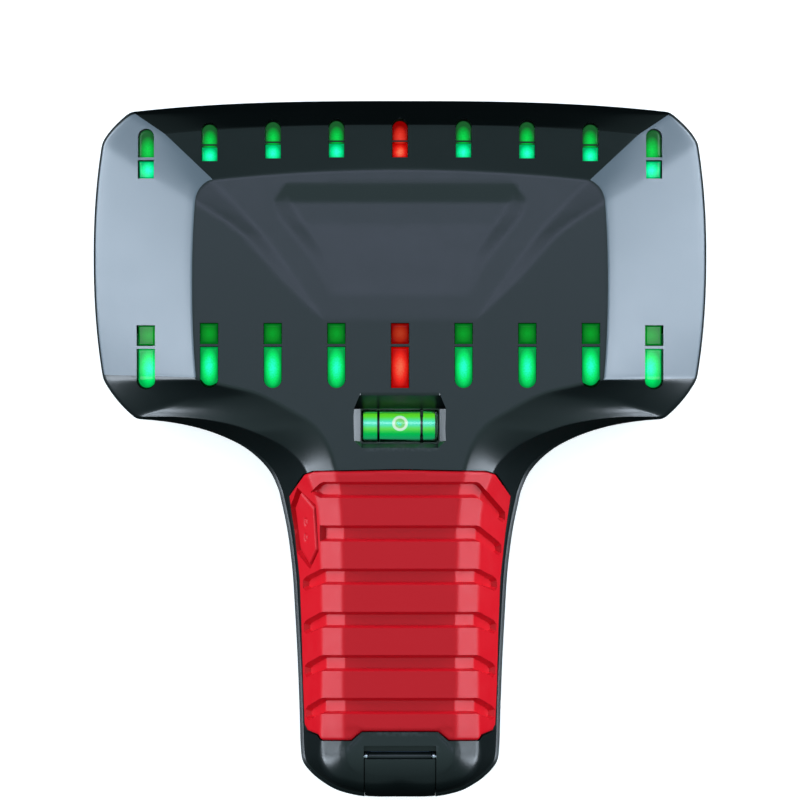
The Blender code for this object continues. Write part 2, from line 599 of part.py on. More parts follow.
def make_button(rubber, grey, black, board):
    cap = solid("power_button", side_prism(button_outline(), -40, BUTTON_FOOT_X))
    keep(cap, solid("proud_form", body_mesh(lambda y: -BUTTON_PROUD)))
    flange = side_prism(button_outline(BUTTON_FLANGE), BUTTON_FOOT_X - 0.6, BUTTON_FOOT_X)
    join(cap, solid("flange", flange))
    for dy in (-2.4, 1.6):
        join(cap, solid("dot", rod(-26.1, BUTTON_Y + dy, BUTTON_Z, 0.7, 4, "X", 10)))
    seat(finish(cap, rubber), BUTTON_FOOT_X, BUTTON_Y, BUTTON_Z)
    start = BUTTON_FOOT_X + FIT
    plunger = rod(start, BUTTON_Y, BUTTON_Z, 1.4, SWITCH_X - start + 0.3, "X", 12)
    seat(finish(solid("switch_plunger", plunger), grey), start, BUTTON_Y, BUTTON_Z)
    case = solid("tact_switch", box(SWITCH_X, SWITCH_X + 3.5, BUTTON_Y - 3, BUTTON_Y + 3, BUTTON_Z - 3, BUTTON_Z + 3))
    well = rod(SWITCH_X - 1, BUTTON_Y, BUTTON_Z, 1.6, 1 + 0.3 + BUTTON_TRAVEL + FIT, "X", 12)
    finish(cut(case, solid("well", well)), black)
    finish(solid("switch_board", box(-10.4, -9.2, -28.4, -12.8, 10.6, 25.5)), board)


# ---------------------------------------------------------------- battery door
DOOR_TOP_Y = -80.4
DOOR_FOOT_Z = BACK_Z + 2.6
DOOR_INNER = [(-86.9, DOOR_FOOT_Z), (-87.5, 5.2), (-88.0, 12.0), (-87.5, 17.0), (-86.8, 22.0), (-86.4, 27.2),
              (-83.0, 30.1), (DOOR_TOP_Y, 30.2)]


def make_door(mat, steel):
    half = DOOR_W / 2
    outside = [(DOOR_TOP_Y, 40), (END_Y - 10, 40), (END_Y - 10, DOOR_FOOT_Z)]
    door = solid("battery_door", side_prism(outside + DOOR_INNER, -half, half))
    keep(door, solid("outer_form", body_mesh(lambda y: DOOR_SINK)))
    barrel = rod(-half, HINGE_Y, HINGE_Z, BARREL_R, DOOR_W, "X", 16)
    join(door, solid("barrel", barrel))
    cut(door, solid("pin_hole", rod(-12, HINGE_Y, HINGE_Z, PIN_R + 0.15, 24, "X", 14)))
    seat(finish(door, mat), 0, HINGE_Y, HINGE_Z)
    pin = rod(-half - 1.2, HINGE_Y, HINGE_Z, PIN_R, DOOR_W + 2.4, "X", 14)
    finish(solid("hinge_pin", pin), steel)


# ---------------------------------------------------------------- electronics
PCB_SCREWS = ((56.0, 50.0),)
PCB_Z = 4.6


def make_board(board, black, white, copper, steel):
    outline = mirrored([(0, 86), (60, 84), (68, 77), (73, 70), (73, 52), (66, 50), (73, 48), (73, 24), (66, 14),
                        (44, 15.5), (30, 15.5), (26, 8), (20, -6), (0, -6)])
    pcb = solid("main_board", prism(outline, PCB_Z, PCB_Z + 1.6))
    cut(pcb, solid("holes", merge(*[rod(x, y, 0, 1.5, 12, "Z", 12) for _, x, y in both(PCB_SCREWS)])))
    cut(pcb, solid("boss_room", merge(*[rod(x, y, 0, BOSS_R + 1.7, 12, "Z", 14) for _, x, y in both(SCREWS)])))
    finish(pcb, board)
    for name, y0, y1, light_y in (("led_strip_top", 76.4, 83.6, 80.0), ("led_strip_low", 18.0, 30.0, 24.0)):
        strip = solid(name, box(-68.5, 68.5, y0, y1, PCB_Z + 1.8, PCB_Z + 2.6))
        for _, x, _, _ in light_columns():
            join(strip, solid("led", box(x - 1.6, x + 1.6, light_y - 1.4, light_y + 1.4, PCB_Z + 2.2, PCB_Z + 3.6)))
        finish(strip, white)
    z = PCB_Z + 1.8
    finish(solid("microcontroller", box(-7, 7, 43, 57, z, z + 1.6)), black)
    ring = solid("detector_coil", rod(0, 50, z, 16, 2.6, "Z", 28))
    finish(cut(ring, solid("core", rod(0, 50, z - 1, 12.5, 6, "Z", 28))), copper)
    buzzer = solid("buzzer", rod(36, 48, z, 6, 5, "Z", 20))
    finish(cut(buzzer, solid("sound_hole", rod(36, 48, z + 3, 1.2, 6, "Z", 10))), black)
    finish(solid("cable_socket", box(-6, 6, -3.6, 1.0, z, z + 4.4)), white)
    for side, x, y in both(PCB_SCREWS):
        screw = solid(f"board_screw_{side}", rod(x, y, PCB_Z + 1.8, 2.2, 1.3, "Z", 12))
        join(screw, solid("shank", rod(x, y, PCB_Z - 1.8, 0.8, 4.2, "Z", 8)))
        finish(screw, steel)


def make_battery(wrap, black, steel):
    w, l, h = BATTERY
    foot, y1 = BATTERY_FOOT_Z, BATTERY_END_Y + BATTERY[1]
    cell = solid("battery", box(-w / 2, w / 2, BATTERY_END_Y, y1, foot, foot + h))
    bevel = cell.modifiers.new("edges", "BEVEL")
    bevel.width, bevel.segments = 1.2 * MM, 2
    graph = bpy.context.evaluated_depsgraph_get()
    mesh = bpy.data.meshes.new_from_object(cell.evaluated_get(graph))
    cell.modifiers.clear()
    cell.data = mesh
    middle = foot + h / 2
    for z, radius in ((middle - 6.35, 2.9), (middle + 6.35, 3.8)):
        join(cell, solid("terminal", rod(0, y1 - 0.5, z, radius, 3.0, "Y", 14)))
    finish(cell, wrap)
    snap = solid("battery_snap", box(-7, 7, y1 + 3.4, y1 + 5.4, foot + 0.8, foot + h - 0.8))
    for z, radius in ((middle - 6.35, 3.9), (middle + 6.35, 4.9)):
        cup = solid("cup", rod(0, y1 + 1.0, z, radius, 3.0, "Y", 14))
        cut(cup, solid("well", rod(0, y1, z, radius - 0.7, 3.0, "Y", 14)))
        join(snap, cup)
    finish(snap, black)
    tray = solid("battery_tray", box(-10.4, 10.4, -78.4, y1 + 7.6, 3.0, 29.4))
    cut(tray, solid("room", box(-9.2, 9.2, -90, y1 + 6.2, 0, 40)))
    cut(tray, solid("wire_slot", box(-6.4, 6.4, y1 + 5, y1 + 9, 3, 12)))
    finish(tray, black)


def wire(name, points, radius, mat):
    """A lead that the casing holds all along its route."""
    curve = bpy.data.curves.new(name, "CURVE")
    curve.dimensions = "3D"
    curve.bevel_depth = radius * MM
    curve.bevel_resolution = 1
    curve.use_fill_caps = True
    line = curve.splines.new("POLY")
    route = spline(points, 14)
    line.points.add(len(route) - 1)
    for point, co in zip(line.points, route):
        point.co = (*[c * MM for c in co], 1.0)
    obj = bpy.data.objects.new(name, curve)
    bpy.context.scene.collection.objects.link(obj)
    curve.materials.append(mat)
    return obj


def make_wires(red, black):
    start = BATTERY_END_Y + BATTERY[1] + 5.8
    for name, sign, mat in (("battery_lead_red", 1, red), ("battery_lead_black", -1, black)):
        wire(name, [(sign * 3.4, start, 8.0), (sign * 3.4, start + 5, 8.2), (sign * 5.5, -22, 9.0),
                    (sign * 4.6, -12, 8.8), (sign * 2.6, -6, 8.6), (sign * 2.6, -4.0, 8.6)], 0.65, mat)


def make_screws(steel):
    for side, x, y in both(SCREWS):
        place = {70.5: "head", 38.0: "neck", 16.6: "grip"}[abs(x)]
        screw = solid(f"screw_{place}_{side}", rod(x, y, 2.9, HEAD_R, 2.2, "Z", 14))
        join(screw, solid("shank", rod(x, y, 4.8, SCREW_R, 10.4, "Z", 10)))
        cut(screw, solid("drive_a", box(x - 1.5, x + 1.5, y - 0.35, y + 0.35, 2, 4)))
        cut(screw, solid("drive_b", box(x - 0.35, x + 0.35, y - 1.5, y + 1.5, 2, 4)))
        finish(screw, steel)


# ---------------------------------------------------------------- assembly
def main():
    for obj in list(bpy.data.objects):
        bpy.data.objects.remove(obj)
    casing = material("casing", (0.035, 0.042, 0.048), 0.42)
    rubber = material("rubber_red", (0.62, 0.02, 0.03), 0.5)
    green = material("lens_green", (0.05, 0.85, 0.25), 0.2)
    red = material("lens_red", (0.95, 0.05, 0.03), 0.2)
    acrylic = material("vial_acrylic", (0.2, 0.9, 0.2), 0.05, alpha=0.5)
    liquid = material("vial_liquid", (0.15, 0.85, 0.2), 0.05, alpha=0.6)
    air = material("bubble", (0.8, 1.0, 0.8), 0.05, alpha=0.4)
    black = material("black_plastic", (0.02, 0.02, 0.022), 0.5)
    white = material("white_plastic", (0.75, 0.75, 0.73), 0.5)
    board = material("circuit_board", (0.02, 0.2, 0.08), 0.4)
    copper = material("copper", (0.85, 0.45, 0.25), 0.35, 1.0)
    steel = material("steel", (0.6, 0.6, 0.62), 0.3, 1.0)
    felt = material("glide_felt", (0.08, 0.085, 0.09), 0.95)
    wrap = material("battery_wrap", (0.05, 0.06, 0.08), 0.35)
    make_front_shell(casing)
    make_rear_shell(casing)
    make_grip(rubber)
    make_button(rubber, white, black, board)
    make_door(casing, steel)
    make_pads(felt)
    for number, x, top, low in light_columns():
        glow = red if x == 0 else green
        light_pipe(f"light_top_{number}", x, TOP_LIGHT_W, top, glow)
        light_pipe(f"light_low_{number}", x, LOW_LIGHT_W, low, glow)
    make_vial(acrylic, liquid, air, black)
    make_board(board, black, white, copper, steel)
    make_battery(wrap, black, steel)
    make_wires(rubber, black)
    make_screws(steel)


main()
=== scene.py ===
import math

import bmesh
import bpy
import numpy as np
from mathutils import Matrix, Vector
from mathutils.bvhtree import BVHTree
from mathutils.geometry import delaunay_2d_cdt


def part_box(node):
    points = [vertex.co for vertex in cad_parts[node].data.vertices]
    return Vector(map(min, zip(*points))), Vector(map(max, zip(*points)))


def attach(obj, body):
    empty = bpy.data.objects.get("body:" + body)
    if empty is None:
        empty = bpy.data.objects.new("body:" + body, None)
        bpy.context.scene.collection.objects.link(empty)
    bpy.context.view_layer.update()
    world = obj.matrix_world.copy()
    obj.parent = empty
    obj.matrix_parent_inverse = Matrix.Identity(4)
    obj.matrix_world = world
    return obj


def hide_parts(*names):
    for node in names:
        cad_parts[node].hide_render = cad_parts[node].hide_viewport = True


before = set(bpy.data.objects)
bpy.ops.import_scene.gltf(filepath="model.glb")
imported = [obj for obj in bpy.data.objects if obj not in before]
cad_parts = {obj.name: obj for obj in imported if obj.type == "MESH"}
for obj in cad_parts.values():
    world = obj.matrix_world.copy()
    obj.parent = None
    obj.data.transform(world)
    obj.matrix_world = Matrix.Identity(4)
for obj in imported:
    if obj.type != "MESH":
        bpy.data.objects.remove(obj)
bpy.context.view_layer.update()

# The T-shaped stud finder lies on its sensing face: +X right, +Y towards the head, +Z out of the front.
# Lengths are in millimetres; mesh_object() and from_bmesh() turn them into metres.
MM = 0.001


def node_box(*nodes):
    """Low and high corners round some CAD nodes, in millimetres."""
    corners = np.array([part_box(n) for n in nodes]) / MM
    return corners[:, 0].min(axis=0), corners[:, 1].max(axis=0)


def node_middle(node):
    low, high = node_box(node)
    return (low + high) / 2


# ---- driving dimensions
TOP_Y = node_box("rear_shell")[1][1]
END_Y = -TOP_Y
BACK_Z = node_box("rear_shell")[0][2]
PART_Z = 12.0           # parting plane between the shells
SHOULDER_Z = 12.9
PANEL_Z = node_box("front_shell")[1][2]
PANEL_FALL, PANEL_FALL_Y = 0.062, -6.0     # the panel falls towards the head from here
BROW_SHARE = 0.37
BACK_LEVELS = ((2.6, BACK_Z), (0.7, BACK_Z + 2.2))     # inset from the silhouette, and height
HEAD_WALL, GRIP_WALL = 2.0, 3.9
POCKET = 2.2
ROUNDING = 0.7          # half the width of a rounded crease
END_ROUND_Y, END_ROUNDING = -75.0, 2.0
LIP = 0.9               # the rear shell stands out this far past the front one along the grip

V_FOOT_Y, V_TOP_Y, V_DEPTH = 33.6, 72.6, 1.5
V_LINE = [(19.8, 33.6), (28.2, 46.0), (35.4, 55.4), (42.7, 63.5), (49.3, 69.9)]
V_BANK = [(19.8, 33.6), (31.8, 45.2), (40.9, 55.8), (45.7, 59.5), (53.6, 64.4), (62.0, 69.9)]
PLATE_RIM = [(19.4, 42.3), (23.0, 49.6), (28.1, 56.2), (31.8, 61.0), (32.9, 64.2), (29.6, 68.4)]
PLATE_FLOOR = [(16.5, 40.1), (19.4, 50.3), (23.8, 56.9), (28.1, 63.6)]
PLATE_TOP_Y, PLATE_WALL, PLATE_DEPTH = 68.9, 4.7, 0.8

NECK_SILHOUETTE = [(68.5, 7.8), (62.5, 7.3), (54.7, 6.0), (46.9, 3.6), (39.1, -0.5), (33.4, -6.5),
                   (31.4, -11.0)]
NECK_SHOULDER = [(68.3, 8.3), (58.8, 8.3), (50.1, 7.5), (42.4, 5.9), (34.2, 2.6), (28.8, -0.6), (24.9, -4.8),
                 (22.8, -9.5)]
NECK_BORDER = [(45.7, 16.3), (36.9, 14.1), (28.7, 10.0), (21.9, 5.6), (18.6, 0.6), (16.9, -4.5), (16.0, -9.5)]
NECK_END_Z, NECK_DIP, GRIP_END_Z = 29.2, 1.2, 29.3
GRIP_SILHOUETTE = [(31.4, -11.0), (29.3, -21.1), (28.2, -29.4), (27.2, -43.9), (26.1, -68.9), (25.9, -76.5)]
GRIP_SHOULDER = [(22.8, -9.5), (21.5, -14.0), (20.7, -27.0), (20.4, -40.0), (20.6, -70.0), (20.7, -75.0)]
GRIP_BORDER = [(16.0, -9.5), (15.4, -14.0), (14.9, -27.0), (14.8, -40.0), (14.5, -70.0), (14.3, -75.0)]
END_SILHOUETTE = [(25.9, -76.5), (25.2, -81.4), (22.9, -84.3), (19.6, -86.9), (16.8, -88.5), (12.5, -89.8),
                  (0.0, END_Y)]
END_SHOULDER = [(20.7, -75.0), (20.9, -80.5), (18.6, -85.0), (12.0, -88.2), (0.0, -89.2)]
END_BORDER = [(14.3, -75.0), (14.2, -79.5), (12.8, -82.8), (9.0, -85.0), (0.0, -85.7)]
END_ROLL_Y, END_ROLL = -78.0, 0.038
TAB_EDGE = [(9.6, -72.0), (9.6, -74.0), (12.5, -77.0), (13.0, -79.0)]
TAB_STEP, TAB_SLOPE = 0.3, 0.6
TAB_START_Y, TAB_END_Y = -72.5, -79.0
BULGE_Y = -80.0         # the handle's end bulges past here
ABOVE, BELOW = 50, -1   # clear of the whole tool, for cutting tools

GRIP_OUTLINE = [(0.0, -5.3), (22.6, -5.8), (25.0, -6.6), (29.0, -12.2), (27.6, -21.8), (26.3, -33.7),
                (25.8, -47.0), (25.4, -62.0), (25.0, -71.6), (24.2, -73.2), (21.4, -74.2), (20.4, -75.5),
                (12.6, -75.5), (9.9, -73.2), (0.0, -73.2)]
GROOVE_TOPS = (-8.6, -19.9, -31.1, -42.3, -53.5, -64.6)
GROOVE_W, GROOVE = 3.9, 1.5
MOAT = 1.7              # depth round the button
HOPPER_DEPTH = 1.0
BUBBLE_SHAPE = (2.1, 1.95, 0.65)    # half length, half width, and shift towards the head
BUTTON_SIDE_GROOVE = 2
BUTTON_RISE = 2.2       # the cap sits this much above the middle of its plunger


# ---- outlines
def columns(*values):
    """Stacks columns side by side; a single number fills its column."""
    count = max(len(v) for v in values if np.ndim(v))
    return np.column_stack([v if np.ndim(v) else np.full(count, v) for v in values]).astype(float)


def bowed(a, b, bow, u):
    """Points at u along the line from a to b, pushed aside by bow in the middle."""
    a, b, bow = (np.array(v, float) for v in (a, b, bow))
    u = np.asarray(u)[:, None]
    return a + (b - a) * u + 4 * u * (1 - u) * bow


def curve(points, u, level_end=False):
    """Points at u along a Catmull-Rom curve through these; level_end ends it square to the centre line."""
    p = np.array(points, float)
    chord = np.concatenate([[0], np.cumsum(np.linalg.norm(np.diff(p, axis=0), axis=1))])
    tangent = np.gradient(p, chord, axis=0)
    if level_end:
        tangent[-1] = (-1, 0)
    s = np.asarray(u) * chord[-1]
    i = np.clip(np.searchsorted(chord, s, side="right") - 1, 0, len(p) - 2)
    h = (chord[i + 1] - chord[i])[:, None]
    t = (s - chord[i])[:, None] / h
    return ((2 * t**3 - 3 * t**2 + 1) * p[i] + (t**3 - 2 * t**2 + t) * h * tangent[i]
            + (3 * t**2 - 2 * t**3) * p[i + 1] + (t**3 - t**2) * h * tangent[i + 1])


def eased(z0, z1, u):
    return z0 + (z1 - z0) * u * u * (3 - 2 * u)


def line_x(line, y):
    """x of a line of (x, y) points with rising y, at y."""
    xs, ys = zip(*line)
    return np.interp(y, ys, xs)


def panel_z(x, y):
    """Height of the front panel, with its dished V and the tapering plate in it."""
    x, y = np.abs(x), np.asarray(y, float)
    inner, outer = line_x(V_LINE, y), line_x(V_BANK, y)
    share = np.where(x <= inner, 1.0, np.clip((outer - x) / np.maximum(outer - inner, 1e-6), 0, 1))
    z = PANEL_Z - PANEL_FALL * np.maximum(0, y - PANEL_FALL_Y)
    z = z - V_DEPTH * share * np.maximum(0, y - V_FOOT_Y) / (V_TOP_Y - V_FOOT_Y)
    rim, floor = line_x(PLATE_RIM, y), line_x(PLATE_FLOOR, y)
    dip = np.minimum((rim - x) / np.maximum(rim - floor, 0.5), (PLATE_TOP_Y - y) / PLATE_WALL)
    fade = np.clip((y - PLATE_FLOOR[0][1]) / 18, 0, 1)
    z = z - PLATE_DEPTH * fade * np.clip(dip, 0, 1)
    outside = np.clip((x - line_x(TAB_EDGE[::-1], y)) / TAB_SLOPE, 0, 1) * (y < TAB_START_Y)
    z = z - TAB_STEP * outside * np.clip((y - TAB_END_Y) / 2.0, 0, 1)
    return z - END_ROLL * np.maximum(0, END_ROLL_Y - y)**2


def soft_panel_z(x, y):
    """The panel's height with its creases rounded."""
    steps = (-0.2, 0.0, 0.2)
    return sum(panel_z(x + dx, y + dy) for dx in steps for dy in steps) / len(steps)**2


def panel_creases():
    """Lines over the panel where its slope changes: both sides of the V, and the plate's rim and floor."""
    rim = [p for p in PLATE_RIM if p[1] < PLATE_TOP_Y] + [(line_x(PLATE_RIM, PLATE_TOP_Y), PLATE_TOP_Y)]
    floor_y = PLATE_TOP_Y - PLATE_WALL
    floor = [p for p in PLATE_FLOOR if p[1] < floor_y] + [(line_x(PLATE_FLOOR, floor_y), floor_y)]
    lines = []
    for line in (V_LINE, V_BANK, TAB_EDGE, [(x + TAB_SLOPE, y) for x, y in TAB_EDGE]):
        lines += [line, [(-x, y) for x, y in line]]
    for line in (rim, floor):
        lines.append(line + [(-x, y) for x, y in reversed(line)])
    return [np.array(line, float) for line in lines]


def beside(line, distance):
    """An open plan line moved sideways."""
    along = np.gradient(line, axis=0)
    along /= np.linalg.norm(along, axis=1)[:, None]
    return line + columns(-along[:, 1], along[:, 0]) * distance


# Each section of the right half gives, at u from 0 to 1, its silhouette, shoulder, brow and border.
# A brow of None is worked out by fill_brow().
def top_section(u):
    ledge = 2.5 - 2.0 * u**2.8
    return (columns(70.2 * u, TOP_Y - 2.9 * u**2.8, PART_Z),
            columns(69.8 * u, TOP_Y - 2.9 * u**2.8 - ledge, PART_Z + 0.2 + 1.5 * ledge),
            columns(62 * u, 84.2 - 2.4 * u**2.4, 21.3 - 1.3 * u - 1.5 * u**4),
            columns(49.3 * u, 72.6 - 2.7 * u**2))


def corner_section(u):
    return (bowed((70.2, 87.6, PART_Z), (77.5, 79.2, PART_Z), (1.15, -0.3, 0), u),
            bowed((69.8, 87.1, SHOULDER_Z), (77.1, 79.0, SHOULDER_Z), (1.15, -0.35, 0), u),
            bowed((62.0, 81.8, 18.5), (68.2, 73.7, 19.0), (0, 0, 0), u),
            bowed((49.3, 69.9), (53.2, 64.4), (0.75, 0.55), u))


def side_section(u):
    bulge = -2.3 * np.abs(2 * u - 1)**2.2 - 0.3 * u
    return (columns(79.8 + bulge, 79.2 - 61.0 * u, PART_Z),
            columns(79.4 + bulge, 79.0 - 60.7 * u, SHOULDER_Z), None,
            columns(54.1 - 0.9 * np.abs(2 * u - 1)**2.2 - 0.3 * u, 64.4 - 46.6 * u))


def low_corner_section(u):
    return (bowed((77.2, 18.2, PART_Z), (68.5, 7.8, PART_Z), (0.6, -0.4, 0), u),
            bowed((76.8, 18.3, SHOULDER_Z), (68.3, 8.3, SHOULDER_Z), (0.6, -0.4, 0), u), None,
            bowed((52.8, 17.8), (45.7, 16.3), (0, 0), u))


def neck_section(u):
    height = NECK_END_Z - (NECK_END_Z - SHOULDER_Z) * (1 - u)**3
    height -= NECK_DIP * np.sin(math.pi * np.clip((u - 0.6) / 0.4, 0, 1))
    return (columns(curve(NECK_SILHOUETTE, u), PART_Z), columns(curve(NECK_SHOULDER, u), height), None,
            curve(NECK_BORDER, u))


def grip_section(u):
    return (columns(curve(GRIP_SILHOUETTE, u), PART_Z),
            columns(curve(GRIP_SHOULDER, u), eased(NECK_END_Z, GRIP_END_Z, u)), None, curve(GRIP_BORDER, u))


def end_section(u):
    return (columns(curve(END_SILHOUETTE, u, True), PART_Z),
            columns(curve(END_SHOULDER, u, True), GRIP_END_Z - 5.0 * u**3), None, curve(END_BORDER, u, True))


SECTIONS = ((top_section, 71), (corner_section, 11), (side_section, 61), (low_corner_section, 14),
            (neck_section, 52), (grip_section, 66), (end_section, 34))
SECTION_NUMBERS = {section: number for number, (section, _) in enumerate(SECTIONS)}
TOP_SECTION, NECK_SECTION = SECTION_NUMBERS[top_section], SECTION_NUMBERS[neck_section]
PALE_SECTIONS = (SECTION_NUMBERS[corner_section], SECTION_NUMBERS[side_section])


def fill_brow(shoulder, border, section):
    """Where no crease crosses the slope, the brow lies on it; over the grip's rounded end it bulges."""
    share = np.full(len(shoulder), BROW_SHARE)
    lift = np.zeros(len(shoulder))
    if section >= NECK_SECTION:
        end = np.clip((BULGE_Y - shoulder[:, 1]) / 8, 0, 1)
        share = 0.38 + 0.14 * end
        lift = 0.24 * end
    brow = shoulder + (border - shoulder) * share[:, None]
    brow[:, 2] += (border[:, 2] - shoulder[:, 2]) * lift
    return brow


def form_rings(step):
    """The four closed rings of the outer form, and each station's section; step is their spacing."""
    rings, sections = [[], [], [], []], []
    for number, (section, length) in enumerate(SECTIONS):
        count = max(2, round(length / step))
        last = section is end_section
        u = np.linspace(0, 1, count + 1)[:None if last else -1]
        silhouette, shoulder, brow, border = section(u)
        border = columns(border, panel_z(border[:, 0], border[:, 1]))
        brow = fill_brow(shoulder, border, number) if brow is None else brow
        for ring, points in zip(rings, (silhouette, shoulder, brow, border)):
            ring.append(points)
        sections += [number] * len(u)
    halves = [np.concatenate(ring) for ring in rings]
    closed = [np.concatenate([half, half[-2:0:-1] * (-1, 1, 1)]) for half in halves]
    return closed, sections + sections[-2:0:-1]


def inset_loop(loop, distance):
    """A closed clockwise loop moved inwards in plan by distance, which may differ along it."""
    p = np.array(loop, float)
    flat = p[:, :2]
    before, after = flat - np.roll(flat, 1, axis=0), np.roll(flat, -1, axis=0) - flat
    before /= np.linalg.norm(before, axis=1)[:, None]
    after /= np.linalg.norm(after, axis=1)[:, None]
    n1, n2 = columns(before[:, 1], -before[:, 0]), columns(after[:, 1], -after[:, 0])
    n = (n1 + n2) / np.maximum(1 + (n1 * n2).sum(axis=1), 0.3)[:, None]
    out = p.copy()
    out[:, :2] = flat + n * np.broadcast_to(distance, len(p))[:, None]
    return out


def mirrored(half):
    """A closed outline from its right half."""
    half = np.array(half, float)
    return np.concatenate([half, half[-2:0:-1] * (-1, 1)])


def softened(ring):
    return (np.roll(ring, 1, axis=0) + 2 * ring + np.roll(ring, -1, axis=0)) / 4


def level_rings(silhouette, levels):
    """A ring for each (inset, height), inside the silhouette."""
    rings = [inset_loop(silhouette, inset) for inset, _ in levels]
    for ring, (_, height) in zip(rings, levels):
        ring[:, 2] = height
    return rings


def twice_area(loop):
    """Twice the area of a closed outline, negative where it runs clockwise."""
    after = np.roll(loop, -1, axis=0)
    return (loop[:, 0] * after[:, 1] - after[:, 0] * loop[:, 1]).sum()


# ---- rounded surfaces between rings
def rounded_rows(rings, middles, radius):
    """Rows of points from the first ring to the last, with the rings between them rounded."""
    p = np.array(rings)
    span = np.linalg.norm(np.diff(p, axis=0), axis=2)
    start = np.concatenate([np.zeros((1, p.shape[1])), np.cumsum(span, axis=0)])
    steps = span[..., None] * (p[1:] + p[:-1]) / 2
    whole = np.concatenate([np.zeros((1, *p.shape[1:])), np.cumsum(steps, axis=0)])
    pick = np.arange(p.shape[1])

    def place(s):
        k = np.clip((s[None] >= start[1:-1]).sum(axis=0), 0, len(span) - 1)
        t = ((s - start[k, pick]) / span[k, pick])[:, None]
        a, b = p[k, pick], p[k + 1, pick]
        return a + (b - a) * t, whole[k, pick] + span[k, pick][:, None] * (a * t + (b - a) * t * t / 2)

    rows, rings_of = [], []
    for k, middle in enumerate(middles):
        near = np.minimum(radius / span[k], 0.3)
        shares = [0 * near, near / 2, near]
        shares += [near + (1 - 2 * near) * m / (middle + 1) for m in range(1, middle + 1)]
        shares += [1 - near, 1 - near / 2]
        if k == len(middles) - 1:
            shares.append(1 + 0 * near)
        for share in shares:
            s = start[k] + span[k] * share
            half = np.minimum(np.minimum(radius, s), start[-1] - s)
            soft = (place(s + half)[1] - place(s - half)[1]) / np.maximum(2 * half, 1e-9)[:, None]
            rows.append(np.where((half > 1e-6)[:, None], soft, place(s)[0]))
            rings_of.append(k)
    return [softened(row) for row in rows], rings_of


def linked(name, data):
    obj = bpy.data.objects.new(name, data)
    bpy.context.scene.collection.objects.link(obj)
    return obj


def mesh_object(name, points, faces, indices=None):
    """An object in metres from points in millimetres."""
    mesh = bpy.data.meshes.new(name)
    mesh.from_pydata((np.asarray(points, float) * MM).tolist(), [], faces)
    if indices is not None:
        mesh.polygons.foreach_set("material_index", indices)
    mesh.update()
    return linked(name, mesh)


def row_quads(rows, count):
    """Quads between closed rows of count points."""
    ends = [(r * count, (r + 1) * count) for r in range(rows - 1)]
    around = [(i, (i + 1) % count) for i in range(count)]
    return [(low + i, high + i, high + j, low + j) for low, high in ends for i, j in around]


def inside_distance(points, loop):
    """Distance from each (x, y) to a closed outline, positive inside it."""
    x, y = np.asarray(points, float)[:, :2].T
    loop = np.asarray(loop, float)[:, :2]
    nearest, inside = np.full(len(x), 1e9), np.zeros(len(x), bool)
    for (ax, ay), (bx, by) in zip(loop, np.roll(loop, -1, axis=0)):
        dx, dy = bx - ax, by - ay
        t = np.clip(((x - ax) * dx + (y - ay) * dy) / max(dx * dx + dy * dy, 1e-12), 0, 1)
        nearest = np.minimum(nearest, (x - ax - t * dx)**2 + (y - ay - t * dy)**2)
        if ay != by:
            inside ^= ((ay > y) != (by > y)) & (x < ax + (y - ay) / (by - ay) * dx)
    return np.where(inside, 1, -1) * np.sqrt(nearest)


def dense(loop, spacing, closed=True):
    """An outline with extra points so that none of its sides is longer than spacing."""
    loop = np.asarray(loop, float)[:, :2]
    out = []
    for a, b in list(zip(loop, np.roll(loop, -1, axis=0)))[:None if closed else -1]:
        count = max(1, math.ceil(np.linalg.norm(b - a) / spacing - 1e-6))
        out += [a + (b - a) * k / count for k in range(count)]
    return np.array(out if closed else out + [loop[-1]])


def fill_plan(boundary, spacing, creases=(), rim_spacing=None, lines=()):
    """Fills a closed plan outline with a grid, and rows of points along closed creases and open lines.

    Returns its points, those of the boundary first, its triangles and the number of boundary points."""
    rim = dense(boundary, rim_spacing or spacing)
    margin = 0.45 * spacing
    low, high = boundary[:, :2].min(axis=0), boundary[:, :2].max(axis=0)
    xs = np.arange(low[0] + spacing / 2, high[0], spacing)
    ys = np.arange(low[1] + spacing / 2, high[1], spacing)
    grid = np.stack(np.meshgrid(xs, ys), axis=-1).reshape(-1, 2)
    grid = grid[inside_distance(grid, boundary) > margin]
    edges, points, count = [], [], 0
    for loop in (boundary, *creases):
        line = dense(loop, spacing) if points else rim
        if points:
            grid = grid[np.abs(inside_distance(grid, loop)) > margin]
        points.append(line)
        edges += [(count + i, count + (i + 1) % len(line)) for i in range(len(line))]
        count += len(line)
    for line in lines:
        line = dense(line, spacing, closed=False)
        line = line[inside_distance(line, boundary) > 0.4]
        grid = grid[np.linalg.norm(grid[:, None] - line[None], axis=2).min(axis=1) > 0.6 * spacing]
        points.append(line)
        edges += [(count + i, count + i + 1) for i in range(len(line) - 1)]
        count += len(line)
    points = np.concatenate([*points, grid])
    coords, _, faces, _, _, _ = delaunay_2d_cdt([Vector(p) for p in points], edges, [], 1, 1e-5)
    return np.array([c[:] for c in coords]), [tuple(f) for f in faces], len(rim)


